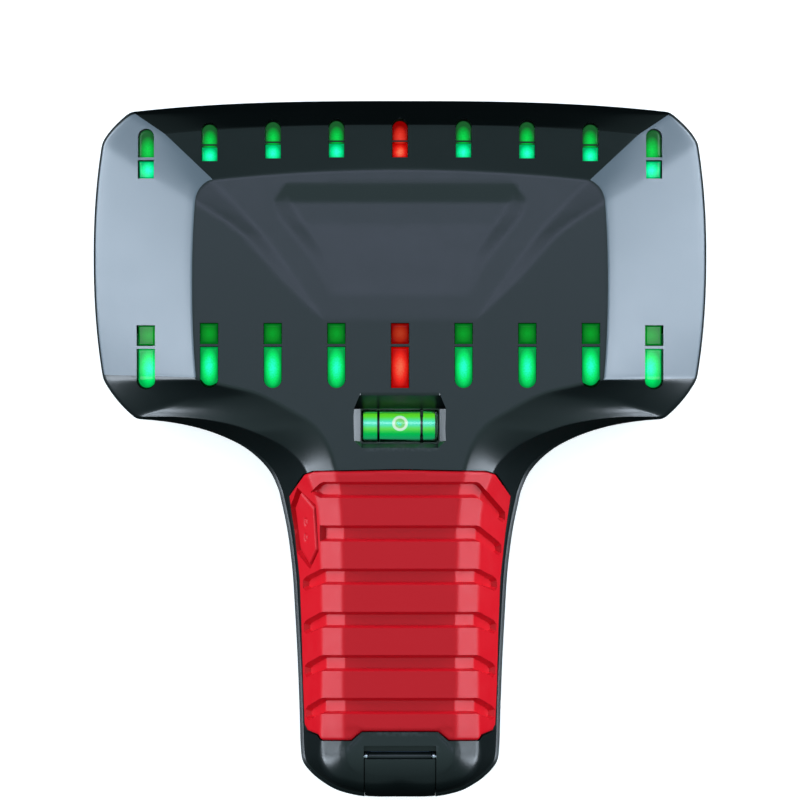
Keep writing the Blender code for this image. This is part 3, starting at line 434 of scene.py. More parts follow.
def outer_form(name, step, panel_step, lip=0.0, foot_z=None):
    """The closed front of the body, from the parting plane up, or from foot_z.

    Faces of the pale facets get material 1, a grey that is partly two-tone paint and partly painted
    reflection of the side lights, and those of the dark band along the head's top edge material 2, whose
    darkness is painted shade. A panel_step under 1.2 also follows the panel's creases."""
    rings, sections = form_rings(step)
    if lip:
        rings[0] = inset_loop(rings[0], np.interp(rings[0][:, 1], (-4.0, 6.0), (lip, 0.0)))
    inner = rings[3]
    for _ in range(4):
        inner = softened(inner)
    inner = inset_loop(inner, 1.0)
    inner[:, 2] = panel_z(inner[:, 0], inner[:, 1])
    rings.append(inner)
    middles = [5, 4, 7, 0]
    if foot_z is not None:
        rings.insert(0, rings[0].copy())
        rings[0][:, 2] = foot_z
        middles.insert(0, 1)
    end = np.clip((END_ROUND_Y - rings[1][:, 1]) / 4, 0, 1)
    rows, rings_of = rounded_rows(rings, middles, ROUNDING + (END_ROUNDING - ROUNDING) * end)
    rows[-1][:, 2] = soft_panel_z(rows[-1][:, 0], rows[-1][:, 1])
    count = len(rows[0])
    faces = row_quads(len(rows), count)
    wall = len(middles) - 4
    indices = []
    for n in range(len(faces)):
        section, ring = sections[n % count], rings_of[n // count] - wall
        # material 1, the side facets' grey, carries painted reflection of the side lights; material 2, the
        # top band, is darkened as painted shade
        pale = section in PALE_SECTIONS and ring in (1, 2)
        indices.append(1 if pale else 2 if section == TOP_SECTION and ring in (0, 1) else 0)
    lines = ()
    if panel_step < 1.2:
        lines = [beside(line, side) for line in panel_creases() for side in (-0.3, 0.3)]
    flat, triangles, _ = fill_plan(rows[-1], panel_step, rim_spacing=1000, lines=lines)
    points = np.concatenate([*rows[:-1], columns(flat, soft_panel_z(flat[:, 0], flat[:, 1]))])
    first = (len(rows) - 1) * count
    faces += [tuple(first + i for i in t) for t in triangles]
    indices += [0] * len(triangles)
    faces.append(tuple(range(count)))
    indices.append(0)
    return mesh_object(name, points, faces, indices)


# ---- solids and Booleans
def object_from(name, bm):
    mesh = bpy.data.meshes.new(name)
    bm.to_mesh(mesh)
    bm.free()
    return linked(name, mesh)


def from_bmesh(name, bm):
    bmesh.ops.recalc_face_normals(bm, faces=bm.faces[:])
    bmesh.ops.scale(bm, vec=(MM, MM, MM), verts=bm.verts[:])
    return object_from(name, bm)


def combine(target, operation, *tools):
    """Applies exact Booleans to target and removes the tools."""
    for tool in tools:
        modifier = target.modifiers.new(operation, "BOOLEAN")
        modifier.operation, modifier.solver, modifier.object = operation, "EXACT", tool
        graph = bpy.context.evaluated_depsgraph_get()
        mesh = bpy.data.meshes.new_from_object(target.evaluated_get(graph))
        target.modifiers.clear()
        target.data = mesh
        bpy.data.objects.remove(tool)
    return target


def cut(target, *tools):
    return combine(target, "DIFFERENCE", *tools)


def join(target, *tools):
    return combine(target, "UNION", *tools)


def keep(target, *tools):
    return combine(target, "INTERSECT", *tools)


def prism_mesh(outline, z0, z1):
    bm = bmesh.new()
    low = [bm.verts.new((p[0], p[1], z0)) for p in outline]
    high = [bm.verts.new((p[0], p[1], z1)) for p in outline]
    bm.faces.new(low)
    bm.faces.new(high)
    for i in range(len(outline)):
        j = (i + 1) % len(outline)
        bm.faces.new((low[i], low[j], high[j], high[i]))
    return bm


def prism(name, outline, z0, z1):
    return from_bmesh(name, prism_mesh(outline, z0, z1))


def side_prism(name, outline, x0, x1):
    """An outline of (y, z) extruded along X."""
    bm = prism_mesh(outline, x0, x1)
    turn = Matrix(((0, 0, 1), (1, 0, 0), (0, 1, 0))).to_4x4()
    bmesh.ops.transform(bm, matrix=turn, verts=bm.verts[:])
    return from_bmesh(name, bm)


def block(name, x0, x1, y0, y1, z0, z1):
    return prism(name, [(x0, y0), (x1, y0), (x1, y1), (x0, y1)], z0, z1)


def rod(name, x, y, z, radius, length, along_x=False, sides=32):
    bm = bmesh.new()
    bmesh.ops.create_cone(bm, cap_ends=True, segments=sides, radius1=radius, radius2=radius, depth=length)
    bmesh.ops.translate(bm, vec=(0, 0, length / 2), verts=bm.verts[:])
    turn = Matrix.Rotation(math.pi / 2, 4, "Y") if along_x else Matrix.Identity(4)
    bmesh.ops.transform(bm, matrix=Matrix.Translation((x, y, z)) @ turn, verts=bm.verts[:])
    return from_bmesh(name, bm)


def merged(name, objects):
    """One object from several that don't touch."""
    bm = bmesh.new()
    for obj in objects:
        bm.from_mesh(obj.data)
        bpy.data.objects.remove(obj)
    return object_from(name, bm)


def inset_form(name, inset, step=7.0):
    """The whole outer form, back included, moved in by inset(y); coarse, for walls and pockets."""
    rings, _ = form_rings(step)
    rings = level_rings(rings[0], BACK_LEVELS) + rings
    count = len(rings[0])
    plan, triangles, _ = fill_plan(rings[-1], 12.0, rim_spacing=1000)
    points = np.concatenate([*rings, columns(plan[count:], panel_z(plan[count:, 0], plan[count:, 1]))])
    first = (len(rings) - 1) * count
    faces = row_quads(len(rings), count) + [tuple(first + i for i in t) for t in triangles]
    faces.append(tuple(range(count)))
    bm = bmesh.new()
    verts = [bm.verts.new(p) for p in points]
    for face in faces:
        bm.faces.new([verts[i] for i in face])
    bmesh.ops.triangulate(bm, faces=bm.faces[:])
    bmesh.ops.recalc_face_normals(bm, faces=bm.faces[:])
    bm.normal_update()
    moved = [v.co - v.normal * inset(v.co.y) * min(v.calc_shell_factor(), 1.6) for v in bm.verts]
    for v, co in zip(bm.verts, moved):
        v.co = co
    return from_bmesh(name, bm)


# ---- pieces that follow the surface
class Surface:
    """Drops plan points onto the outer form."""

    def __init__(self, obj):
        points = [v.co / MM for v in obj.data.vertices]
        self.tree = BVHTree.FromPolygons(points, [p.vertices[:] for p in obj.data.polygons])

    def drop(self, x, y):
        place, normal, _, _ = self.tree.ray_cast(Vector((x, y, 60)), Vector((0, 0, -1)))
        return place, normal

    def lift(self, plan, reach=0.3):
        """Points on the surface under the plan points, and the surface's smoothed normals there."""
        spots, normals = [], []
        for x, y in plan:
            place, normal = self.drop(x, y)
            total = normal.copy()
            for dx, dy in ((reach, 0), (-reach, 0), (0, reach), (0, -reach)):
                near = self.drop(x + dx, y + dy)[1]
                total += near if near and near.z > 0.05 else normal
            spots.append(place)
            normals.append(total.normalized())
        return np.array(spots), np.array(normals)

    def x_at(self, y, z, sign):
        """Where a level line in from the side first meets the surface."""
        return self.tree.ray_cast(Vector((sign * 120, y, z)), Vector((-sign, 0, 0)))[0].x


# Plan x, and where it lies on the skin once the steep side walls are laid flat.
PLAN_X, SKIN_X = (0, 14.9, 20.7, 32), (0, 14.9, 21.6, 52.1)


def unrolled(plan, back=False):
    """Plan points with the side walls stretched to their true width, or back again."""
    marks = (SKIN_X, PLAN_X) if back else (PLAN_X, SKIN_X)
    return columns(np.sign(plan[:, 0]) * np.interp(np.abs(plan[:, 0]), *marks), plan[:, 1])


def smooth_step(t):
    t = np.clip(t, 0, 1)
    return t * t * (3 - 2 * t)


def edge_drop(distance, radius):
    """How far a rounded edge falls at this distance in from it."""
    d = np.clip(radius - distance, 0, radius)
    return radius - np.sqrt(np.maximum(radius**2 - d**2, 0))


def rounded_edge(rim, rise, radius):
    """A height over the surface: rise in the middle, and a rounded edge along the rim."""
    return lambda plan: rise - edge_drop(inside_distance(plan, rim), radius)


def skin(name, surface, outline, height, spacing, thickness, loops=(), flat=False):
    """A closed piece over the surface: plan outline, height(points) above it, thickness along its normals."""
    plan, triangles, rim = fill_plan(outline if flat else unrolled(outline), spacing, loops)
    spots, normals = surface.lift(plan if flat else unrolled(plan, back=True))
    top = spots + normals * height(plan)[:, None]
    low = spots - normals * thickness
    count = len(top)
    faces = list(triangles) + [tuple(count + i for i in t[::-1]) for t in triangles]
    anticlockwise = twice_area(plan[:rim]) > 0
    for i in range(rim):
        j = (i + 1) % rim
        faces.append((i, count + i, count + j, j) if anticlockwise else (j, count + j, count + i, i))
    return mesh_object(name, np.concatenate([top, low]), faces)


# ---- materials
def socket(shader, name, value):
    shader.inputs[name].default_value = value


def set_stops(ramp, stops):
    """Fills a colour ramp with (position, colour) stops; a colour may be one grey number."""
    elements = ramp.color_ramp.elements
    while len(elements) < len(stops):
        elements.new(0.5)
    for element, (position, colour) in zip(elements, stops):
        element.position = position
        element.color = (*colour, 1) if isinstance(colour, tuple) else (colour, colour, colour, 1)


class Look:
    """A Principled material under construction, with short calls for its procedural nodes."""

    def __init__(self, name, colour, roughness, metallic=0.0, specular=0.5):
        self.material = bpy.data.materials.new(name)
        self.material.use_nodes = True
        self.tree = self.material.node_tree
        self.shader = self.tree.nodes["Principled BSDF"]
        socket(self.shader, "Base Color", (*colour, 1))
        socket(self.shader, "Roughness", roughness)
        socket(self.shader, "Metallic", metallic)
        socket(self.shader, "Specular IOR Level", specular)
        self.material.diffuse_color = (*colour, 1)
        self.place = self.tree.nodes.new("ShaderNodeTexCoord").outputs["Object"]

    def node(self, kind, **settings):
        made = self.tree.nodes.new(kind)
        for key, value in settings.items():
            setattr(made, key, value)
        return made

    def link(self, a, b):
        self.tree.links.new(a, b)

    def noise(self, scale, detail=3.0, rough=0.6):
        made = self.node("ShaderNodeTexNoise")
        socket(made, "Scale", scale)
        socket(made, "Detail", detail)
        socket(made, "Roughness", rough)
        self.link(self.place, made.inputs["Vector"])
        return made.outputs["Fac"]

    def ramp(self, fac, *stops):
        made = self.node("ShaderNodeValToRGB")
        set_stops(made, stops)
        self.link(fac, made.inputs["Fac"])
        return made.outputs["Color"]

    def bump(self, height, strength, distance):
        made = self.node("ShaderNodeBump")
        socket(made, "Strength", strength)
        socket(made, "Distance", distance)
        self.link(height, made.inputs["Height"])
        if self.shader.inputs["Normal"].is_linked:
            self.link(self.shader.inputs["Normal"].links[0].from_socket, made.inputs["Normal"])
        self.link(made.outputs["Normal"], self.shader.inputs["Normal"])

    def vary(self, name, fac, *stops):
        self.link(self.ramp(fac, *stops), self.shader.inputs[name])

    def math(self, operation, a, b):
        made = self.node("ShaderNodeMath", operation=operation)
        for value, slot in ((a, made.inputs[0]), (b, made.inputs[1])):
            if isinstance(value, (int, float)):
                slot.default_value = value
            else:
                self.link(value, slot)
        return made.outputs[0]

    def worn_edges(self, colour, worn, low=0.6, high=0.75):
        """Base colour that turns paler along convex edges, broken up by noise."""
        edge = self.node("ShaderNodeNewGeometry").outputs["Pointiness"]
        mask = self.ramp(edge, (low, 0.0), (high, 1.0))
        broken = self.math("MULTIPLY", mask, self.ramp(self.noise(900, 4), (0.42, 0.0), (0.62, 1.0)))
        mix = self.node("ShaderNodeMix", data_type="RGBA")
        mix.inputs["A"].default_value = (*colour, 1)
        mix.inputs["B"].default_value = (*worn, 1)
        self.link(broken, mix.inputs["Factor"])
        self.link(mix.outputs["Result"], self.shader.inputs["Base Color"])


def moulded(name, colour, worn, roughness, grain=2600, depth=0.00003):
    """Moulded plastic: spark-eroded grain, roughness that wanders a little, faintly worn edges."""
    look = Look(name, colour, roughness)
    look.worn_edges(colour, worn)
    look.vary("Roughness", look.noise(140, 4), (0.3, roughness - 0.015), (0.7, roughness + 0.02))
    look.bump(look.noise(grain, 2), 0.25, depth)
    return look.material


def rubber(name, colour, worn):
    look = Look(name, colour, 0.45, specular=0.25)
    look.worn_edges(colour, worn, 0.56, 0.66)
    look.vary("Roughness", look.noise(200, 4), (0.3, 0.40), (0.7, 0.50))
    look.bump(look.noise(2200, 3), 0.3, 0.00004)
    return look.material


def lit_lens(name, dark, bright, hot, strength, core=0.5):
    """A tinted light window, brightest over its lamp, with the granular sparkle of a diffuser."""
    look = Look(name, tuple(0.3 * level for level in dark), 0.2, specular=0.08)
    coords = look.node("ShaderNodeTexCoord").outputs["Generated"]
    shift = look.node("ShaderNodeMapping", vector_type="POINT")
    shift.inputs["Location"].default_value = (-1.0, -2 * core, 0)
    shift.inputs["Scale"].default_value = (2, 2, 0)
    look.link(coords, shift.inputs["Vector"])
    glow = look.node("ShaderNodeTexGradient", gradient_type="SPHERICAL")
    look.link(shift.outputs["Vector"], glow.inputs["Vector"])
    sparkle = look.ramp(look.noise(2600, 2), (0.35, 0.7), (0.65, 1.0))
    level = look.math("MULTIPLY", glow.outputs["Fac"], sparkle)
    look.vary("Emission Color", level, (0.0, dark), (0.32, bright), (0.75, hot))
    socket(look.shader, "Emission Strength", strength)
    return look.material


def vial_painted_glow_look():
    """Green liquid with a painted glow for the lamp that lights it through its barrel, and bands of painted
    light and painted shade along it where the barrel would bend the light.
    """
    look = Look("vial_painted_glow", (0.0, 0.2, 0.02), 0.1)
    split = look.node("ShaderNodeSeparateXYZ")
    look.link(look.place, split.inputs[0])
    across = look.node("ShaderNodeMapRange")
    socket(across, "From Min", -0.0036)
    socket(across, "From Max", 0.0036)
    look.link(split.outputs["Y"], across.inputs["Value"])
    wander = look.math("MULTIPLY", look.math("SUBTRACT", look.noise(500, 3), 0.5), 0.05)
    # painted light: a pale streak of painted highlight across the middle of the filling, and painted shade
    # along both edges
    look.vary("Emission Color", look.math("ADD", across.outputs["Result"], wander),
              (0.01, (0.0, 0.10, 0.03)), (0.06, (0.02, 0.36, 0.16)), (0.19, (0.0, 0.48, 0.12)),
              (0.31, (0.0, 0.56, 0.04)), (0.40, (0.10, 0.68, 0.03)), (0.46, (0.08, 0.74, 0.18)),
              (0.53, (0.06, 0.74, 0.56)), (0.65, (0.08, 0.80, 0.66)), (0.73, (0.08, 0.80, 0.26)),
              (0.81, (0.13, 0.80, 0.03)), (0.91, (0.14, 0.72, 0.02)), (0.96, (0.02, 0.22, 0.02)),
              (0.985, (0.04, 0.85, 0.14)))
    socket(look.shader, "Emission Strength", 0.9)
    return look.material


def bubble_painted_ring_look():
    """The bubble glows with painted light from the lamp behind the vial: a painted highlight as a bright ring
    round a green middle.
    """
    look = Look("air_bubble_painted_glow", (0.1, 0.3, 0.1), 0.05, specular=0.5)
    stretch = look.node("ShaderNodeMapping")
    reach_x, reach_y, offset_y = BUBBLE_SHAPE
    stretch.inputs["Location"].default_value = (0, -offset_y / reach_y, 0)
    stretch.inputs["Scale"].default_value = (1 / (reach_x * MM), 1 / (reach_y * MM), 0)
    look.link(look.place, stretch.inputs["Vector"])
    glow = look.node("ShaderNodeTexGradient", gradient_type="SPHERICAL")
    look.link(stretch.outputs["Vector"], glow.inputs["Vector"])
    # painted highlight: a bright ring round the bubble's green middle, as emission
    look.vary("Emission Color", glow.outputs["Fac"], (0.0, (0.3, 0.85, 0.5)), (0.12, (0.8, 0.9, 0.9)),
              (0.30, (0.9, 0.88, 0.85)), (0.44, (0.16, 0.62, 0.10)), (0.9, (0.10, 0.62, 0.10)))
    socket(look.shader, "Emission Strength", 0.85)
    return look.material


def metal(name, colour, roughness):
    look = Look(name, colour, roughness, metallic=1.0)
    look.vary("Roughness", look.noise(600, 4), (0.3, roughness - 0.06), (0.7, roughness + 0.1))
    look.bump(look.noise(1800, 2), 0.12, 0.00002)
    return look.material


def finish(obj, materials, angle=32):
    """Materials, and smooth shading with edges kept sharp past this angle."""
    slots = obj.data.materials
    for number, mat in enumerate(materials if isinstance(materials, list) else [materials]):
        if number < len(slots):
            slots[number] = mat
        else:
            slots.append(mat)
    obj.data.shade_smooth()
    obj.data.set_sharp_from_angle(angle=math.radians(angle))
    return obj


def stand_for(obj, slot, *nodes, body="casing"):
    """The piece rides on its body in place of these CAD nodes."""
    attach(obj, body)
    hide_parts(*nodes)
    return obj


# ---- casing
LIGHT_PITCH = 16.5
LENS_FIT = 0.15
LIGHT_WIDTHS = {"top": 3.9, "low": 4.5}


def window_rows():
    """Every light window: node, x, width, (y low, y high, rounded end), and its kind."""
    rows = []
    for number in range(9):
        step = number - 4
        if abs(step) == 4:
            windows = {"top": ((75.9, 83.1, "high"), (70.4, 74.9, None)),
                       "low": ((26.9, 32.0, None), (15.6, 25.9, "low"))}
        else:
            drop = (abs(step) / 3)**3
            windows = {"top": ((80.3 - drop, 85.7 - drop, "high"), (75.9 - drop, 79.6 - drop, None)),
                       "low": ((27.4, 32.6, None), (16.0, 26.5, "low" if step else None))}
        for row, kinds in (("top", ("pill", "square")), ("low", ("square", "pill"))):
            rows += [(f"light_{row}_{number + 1}", step * LIGHT_PITCH, LIGHT_WIDTHS[row], window, kind)
                     for window, kind in zip(windows[row], kinds)]
    return rows


def window_outline(x, width, window, grow=0.0, steps=17):
    y0, y1, rounded = window
    y0, y1, half = y0 - grow, y1 + grow, width / 2 + grow
    corners = [(x - half, y0), (x + half, y0), (x + half, y1), (x - half, y1)]
    if not rounded:
        return np.array(corners)
    sign = 1 if rounded == "high" else -1
    centre = y1 - half if rounded == "high" else y0 + half
    angles = np.linspace(0, math.pi, steps)
    arc = [(x + half * math.cos(a), centre + sign * half * math.sin(a)) for a in angles]
    return np.array(corners[:2] + arc if rounded == "high" else corners[2:] + arc[::-1])


def loft(name, low, high):
    count = len(low)
    bm = bmesh.new()
    verts = [bm.verts.new(p) for p in list(low) + list(high)]
    for face in row_quads(2, count) + [tuple(range(count)), tuple(range(count, 2 * count))]:
        bm.faces.new([verts[i] for i in face])
    return from_bmesh(name, bm)


def recess_tools():
    """In front of the vial: a cut-cornered hopper with shallow banks, and a steep wall above the vial."""
    mouth = mirrored([(0, 14.6), (10.2, 14.6), (11.9, 10.3), (11.9, 2.2), (9.9, 0.3), (0, 0.3)])
    throat = mirrored([(0, 10.5), (10.2, 10.5), (10.25, 10.4), (10.25, 2.0), (9.9, 1.4), (0, 1.4)])
    high = columns(mouth, panel_z(mouth[:, 0], mouth[:, 1]))
    low = columns(throat, high[:, 2].min() - HOPPER_DEPTH)
    hopper = loft("hopper", low, low + (high - low) * 1.4)
    trapezoid = mirrored([(0, 14.6), (10.2, 14.6), (12.0, 10.4), (0, 10.4)])
    bank = side_prism("bank", [(14.7, 33.4), (10.3, 36.0), (10.3, 27.4)], -13, 13)
    return hopper, keep(bank, prism("trapezoid", trapezoid, 20, ABOVE))


def button_outline(grow=0.0):
    """Long hexagon on the left side wall, as (y, z)."""
    _, y0, z0 = node_middle("power_button")
    z0 += BUTTON_RISE
    half_y, half_z, cut_y = 9.4 + grow, 4.6 + grow, 5.4 + grow / 2
    corners = ((-half_y, 0), (-cut_y, -half_z), (cut_y, -half_z),
               (half_y, 0), (cut_y, half_z), (-cut_y, half_z))
    return [(y0 + y, z0 + z) for y, z in corners]


def button_hole(grow):
    return side_prism("button_hole", button_outline(grow), -40, -12)


def make_front_shell(casing, pale, dark):
    shell = outer_form("casing_front", 1.0, 0.9, LIP)
    for mat in (casing, pale, dark):
        shell.data.materials.append(mat)
    cut(shell, inset_form("cavity", lambda y: float(np.interp(y, (-3, 3), (GRIP_WALL, HEAD_WALL)))))
    bucket = block("bucket", -13.2, 13.2, -5.0, 15.6, 20.2, 45)
    join(shell, keep(bucket, inset_form("inside", lambda y: 1.0)))
    grip_region = prism("pocket", inset_loop(mirrored(GRIP_OUTLINE), -0.18), PART_Z + 1.3, ABOVE)
    cut(shell, cut(grip_region, inset_form("pocket_floor", lambda y: POCKET)))
    windows = merged("windows", [prism("window", window_outline(x, w, window, LENS_FIT), PART_Z + 2, ABOVE)
                                 for _, x, w, window, _ in window_rows()])
    vial_low, vial_high = node_box("vial_barrel")
    slot = block("vial_slot", -10.2, 10.2, vial_low[1] - 0.3, vial_high[1] + 0.3, 15, 34)
    half = node_box("battery_door")[1][0] + 0.25
    opening = block("end_opening", -half, half, END_Y - 5, -78.3, -2, ABOVE)
    _, pin_y, pin_z = node_middle("hinge_pin")
    knuckle = block("knuckle_pocket", -half, half, -78.5, -76.9, node_box("hinge_pin")[0][2] - 0.8, ABOVE)
    pin_hole = rod("pin_hole", -11, pin_y, pin_z, 0.7, 22, along_x=True)
    cut(shell, windows, *recess_tools(), slot, opening, knuckle, pin_hole, button_hole(0.25))
    return stand_for(finish(shell, [casing, pale, dark]), "casing", "front_shell")


# ---- grip
def groove_loop(number):
    """One groove across the front and angled down over both sides, in unrolled plan."""
    top = GROOVE_TOPS[number]
    lean = (7.0, 4.2, 2.2)[min(number, 2)]
    reach = (27.2, 26.2)[number] if number < 2 else 25.1 - 0.2 * (number - 2)
    x = 19.8
    right = [(x, top), (reach - 0.7, top - lean), (reach, top - lean - 0.9), (reach, top - lean - 2.7),
             (reach - 0.7, top - lean - 3.4), (x, top - GROOVE_W)]
    left = right
    if number < BUTTON_SIDE_GROOVE:
        left = [(x + (3.4, 0.9)[number], top - (2.6, 0)[number]), (x + 0.9, top - GROOVE_W)]
        left = [(x, top)] * (number == 0) + left
    loop = np.array(right + [(-px, py) for px, py in reversed(left)])
    return unrolled(loop)


def shrink(loop, distance):
    """inset_loop for a loop in either sense."""
    return inset_loop(loop, distance if twice_area(loop) < 0 else -distance)


def make_grip(surface, material, button_plan):
    outline = mirrored(GRIP_OUTLINE)
    rim = unrolled(outline)
    crown = rounded_edge(rim, 0.05, 0.8)
    grooves = [groove_loop(n) for n in range(len(GROOVE_TOPS))]
    button = unrolled(button_plan)
    moat = shrink(button, -0.9)
    moat[:, 0] -= np.clip(button[:, 0].mean() - button[:, 0], 0, 2.6)

    def height(plan):
        sunk = smooth_step((inside_distance(plan, moat) + 0.1) / 0.5) * MOAT
        for groove in grooves:
            sunk = np.maximum(sunk, GROOVE * smooth_step((inside_distance(plan, groove) + 0.15) / 0.75))
        return crown(plan) - sunk

    loops = [shrink(rim, d) for d in (0.25, 0.8)]
    loops += [shrink(g, d) for g in grooves for d in (-0.15, 0.2, 0.6)]
    loops += [shrink(moat, d) for d in (-0.1, 0.2, 0.5)]
    grip = skin("grip_skin", surface, outline, height, 0.55, 1.9, loops)
    cut(grip, button_hole(0.12))
    return stand_for(finish(grip, material, 50), "rubber_red", "grip_overmould")


def make_button(surface, material, button_plan):
    rim = unrolled(button_plan)
    middle = rim.mean(axis=0)
    crown = rounded_edge(rim, 0.3, 0.6)

    def height(plan):
        rise = crown(plan)
        for dy in (-2.4, 1.6):
            spot = np.hypot(plan[:, 0] - middle[0], plan[:, 1] - middle[1] - dy)
            rise = rise - 0.35 * (1 - smooth_step(np.abs(spot - 0.9) / 0.4))
        return rise

    button = skin("button_cap", surface, button_plan, height, 0.4, 3.0, [shrink(rim, 0.3), shrink(rim, 0.6)])
    return stand_for(finish(button, material, 60), "rubber_red", "power_button", body="power_button")


# ---- light windows
def make_lights(surface, green, red):
    firsts = {}
    for node, x, width, window, kind in window_rows():
        label = "lower" if node in firsts else "upper"
        looks, slot = (green, "lens_green") if x else (red, "lens_red")
        outline = window_outline(x, width, window)
        height = rounded_edge(outline, -0.3, 0.35)
        rims = [shrink(outline, 0.35)]
        lens = skin(f"{node}_{label}", surface, outline, height, 0.45, 2.2, rims, flat=True)
        finish(lens, looks[f"{node[6:9]}_{kind}"], 60)
        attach(lens, "casing")
        firsts.setdefault(node, lens)
    for node, lens in firsts.items():
        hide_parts(node)


# ---- bubble level
def turned(name, profile, x, y, z, upright=False, sides=48):
    """A closed profile of (along, radius) turned round X, or round Z if upright, through the point."""
    angles = np.linspace(0, 2 * math.pi, sides, endpoint=False)
    points, faces, rows, poles = [], [], [], {}
    for along, radius in profile:
        if radius == 0:
            poles[len(rows)] = len(points)
            rows.append([len(points)] * sides)
            points.append((along, 0, 0))
        else:
            rows.append(list(range(len(points), len(points) + sides)))
            points += [(along, radius * math.cos(a), radius * math.sin(a)) for a in angles]
    closed = profile[0][1] != 0
    for k in range(len(rows) if closed else len(rows) - 1):
        a, b = rows[k], rows[(k + 1) % len(rows)]
        for i in range(sides):
            j = (i + 1) % sides
            faces.append(tuple(dict.fromkeys((a[i], a[j], b[j], b[i]))))
    points = np.array(points)
    if upright:
        points = points[:, [1, 2, 0]]
    return outward(mesh_object(name, points + (x, y, z), faces))


def outward(obj):
    """Turns every face of a closed mesh outwards."""
    bm = bmesh.new()
    bm.from_mesh(obj.data)
    bmesh.ops.recalc_face_normals(bm, faces=bm.faces[:])
    bm.to_mesh(obj.data)
    bm.free()
    return obj


def rounded_profile(x0, x1, radius, corner, steps=5):
    """(along, radius) profile of a solid rod with rounded rims."""
    arc = np.linspace(0, math.pi / 2, steps)
    left = [(x0 + corner * (1 - math.sin(a)), radius - corner * (1 - math.cos(a))) for a in arc[::-1]]
    right = [(x1 - corner * (1 - math.sin(a)), radius - corner * (1 - math.cos(a))) for a in arc]
    return [(x0, 0), *left, *right, (x1, 0)]


def make_vial(acrylic, liquid, bubble, black):
    low, high = node_box("vial_barrel")
    x0, x1 = low[0], high[0]
    _, y, z = (low + high) / 2
    radius = (high[2] - low[2]) / 2
    fluid_r, bore_x = radius - 0.6, x1 - 0.9
    bore_r = fluid_r + 0.18
    barrel = turned("vial_tube", rounded_profile(x0, x1, radius, 0.7), 0, y, z)
    bore = [(x0 + 0.5, 0), (x0 + 0.5, bore_r), (bore_x, bore_r), (bore_x, 0)]
    cut(barrel, turned("bore", bore, 0, y, z))
    for node in ("vial_ring_left", "vial_ring_right"):
        ring_low, ring_high = node_box(node)
        a, b = ring_low[0] - 0.02, ring_high[0] + 0.02
        deep, proud, rim = radius - 0.27, radius + 0.2, radius - 0.1
        groove = [(a - 0.1, deep), (b + 0.1, deep), (b + 0.1, proud), (a - 0.1, proud)]
        cut(barrel, turned("groove", groove, 0, y, z))
        band = [(a, radius - 0.22), (b, radius - 0.22), (b, rim), (b - 0.1, radius - 0.03),
                (a + 0.1, radius - 0.03), (a, rim)]
        stand_for(finish(turned(f"{node}_band", band, 0, y, z), black, 60), "black_plastic", node)
    barrel.visible_diffuse = False
    stand_for(finish(barrel, acrylic, 40), "vial_acrylic", "vial_barrel")
    cap = turned("vial_end_plug", rounded_profile(bore_x + 0.05, x1 - 0.1, fluid_r, 0.3), 0, y, z)
    stand_for(finish(cap, acrylic), "vial_acrylic", "vial_plug")
    fluid = turned("vial_filling", rounded_profile(x0 + 0.6, bore_x - 0.1, fluid_r, 0.8), 0, 0, 0)
    fluid.location = (0, y * MM, z * MM)
    fluid.visible_diffuse = False
    stand_for(finish(fluid, liquid), "vial_liquid", "vial_fluid")

    # the bubble is a lens of air that hugs the top of the filling; its origin is its own centre
    rings, sides = ((0.5, 0.03), (0.64, 0.08), (0.8, 0.10), (0.93, 0.07), (1.0, 0.02)), 40
    angles = np.linspace(0, 2 * math.pi, sides, endpoint=False)
    points, (reach_x, reach_y, offset_y) = [], BUBBLE_SHAPE
    for swell in (1, 0):
        for share, height in rings:
            u, v = reach_x * share * np.cos(angles), reach_y * share * np.sin(angles) + offset_y
            r = fluid_r + 0.01 + height * swell
            points += list(columns(u, v, np.sqrt(r * r - v * v)))
    rows = [list(range(k * sides, (k + 1) * sides)) for k in range(2 * len(rings))]
    top, under = rows[:len(rings)], rows[len(rings):]
    faces = [tuple(top[0]), tuple(under[0])]
    for a, b in [*zip(top, top[1:]), *zip(under, under[1:]), (top[-1], under[-1])]:
        faces += [(a[i], a[(i + 1) % sides], b[(i + 1) % sides], b[i]) for i in range(sides)]
    air = outward(mesh_object("vial_air", points, faces))
    air.location = (0, y * MM, z * MM)
    stand_for(finish(air, bubble, 60), "bubble", "vial_bubble", body="bubble")


# ---- battery door
# The door's inner face, as (y, z) from its foot up to the hinge.
DOOR_INNER = [(-87.5, 5.2), (-88.0, 12.0), (-87.5, 17.0), (-86.8, 22.0), (-86.4, 27.2), (-84.6, 29.3),
              (-81.8, 30.0), (-70.0, 30.0)]


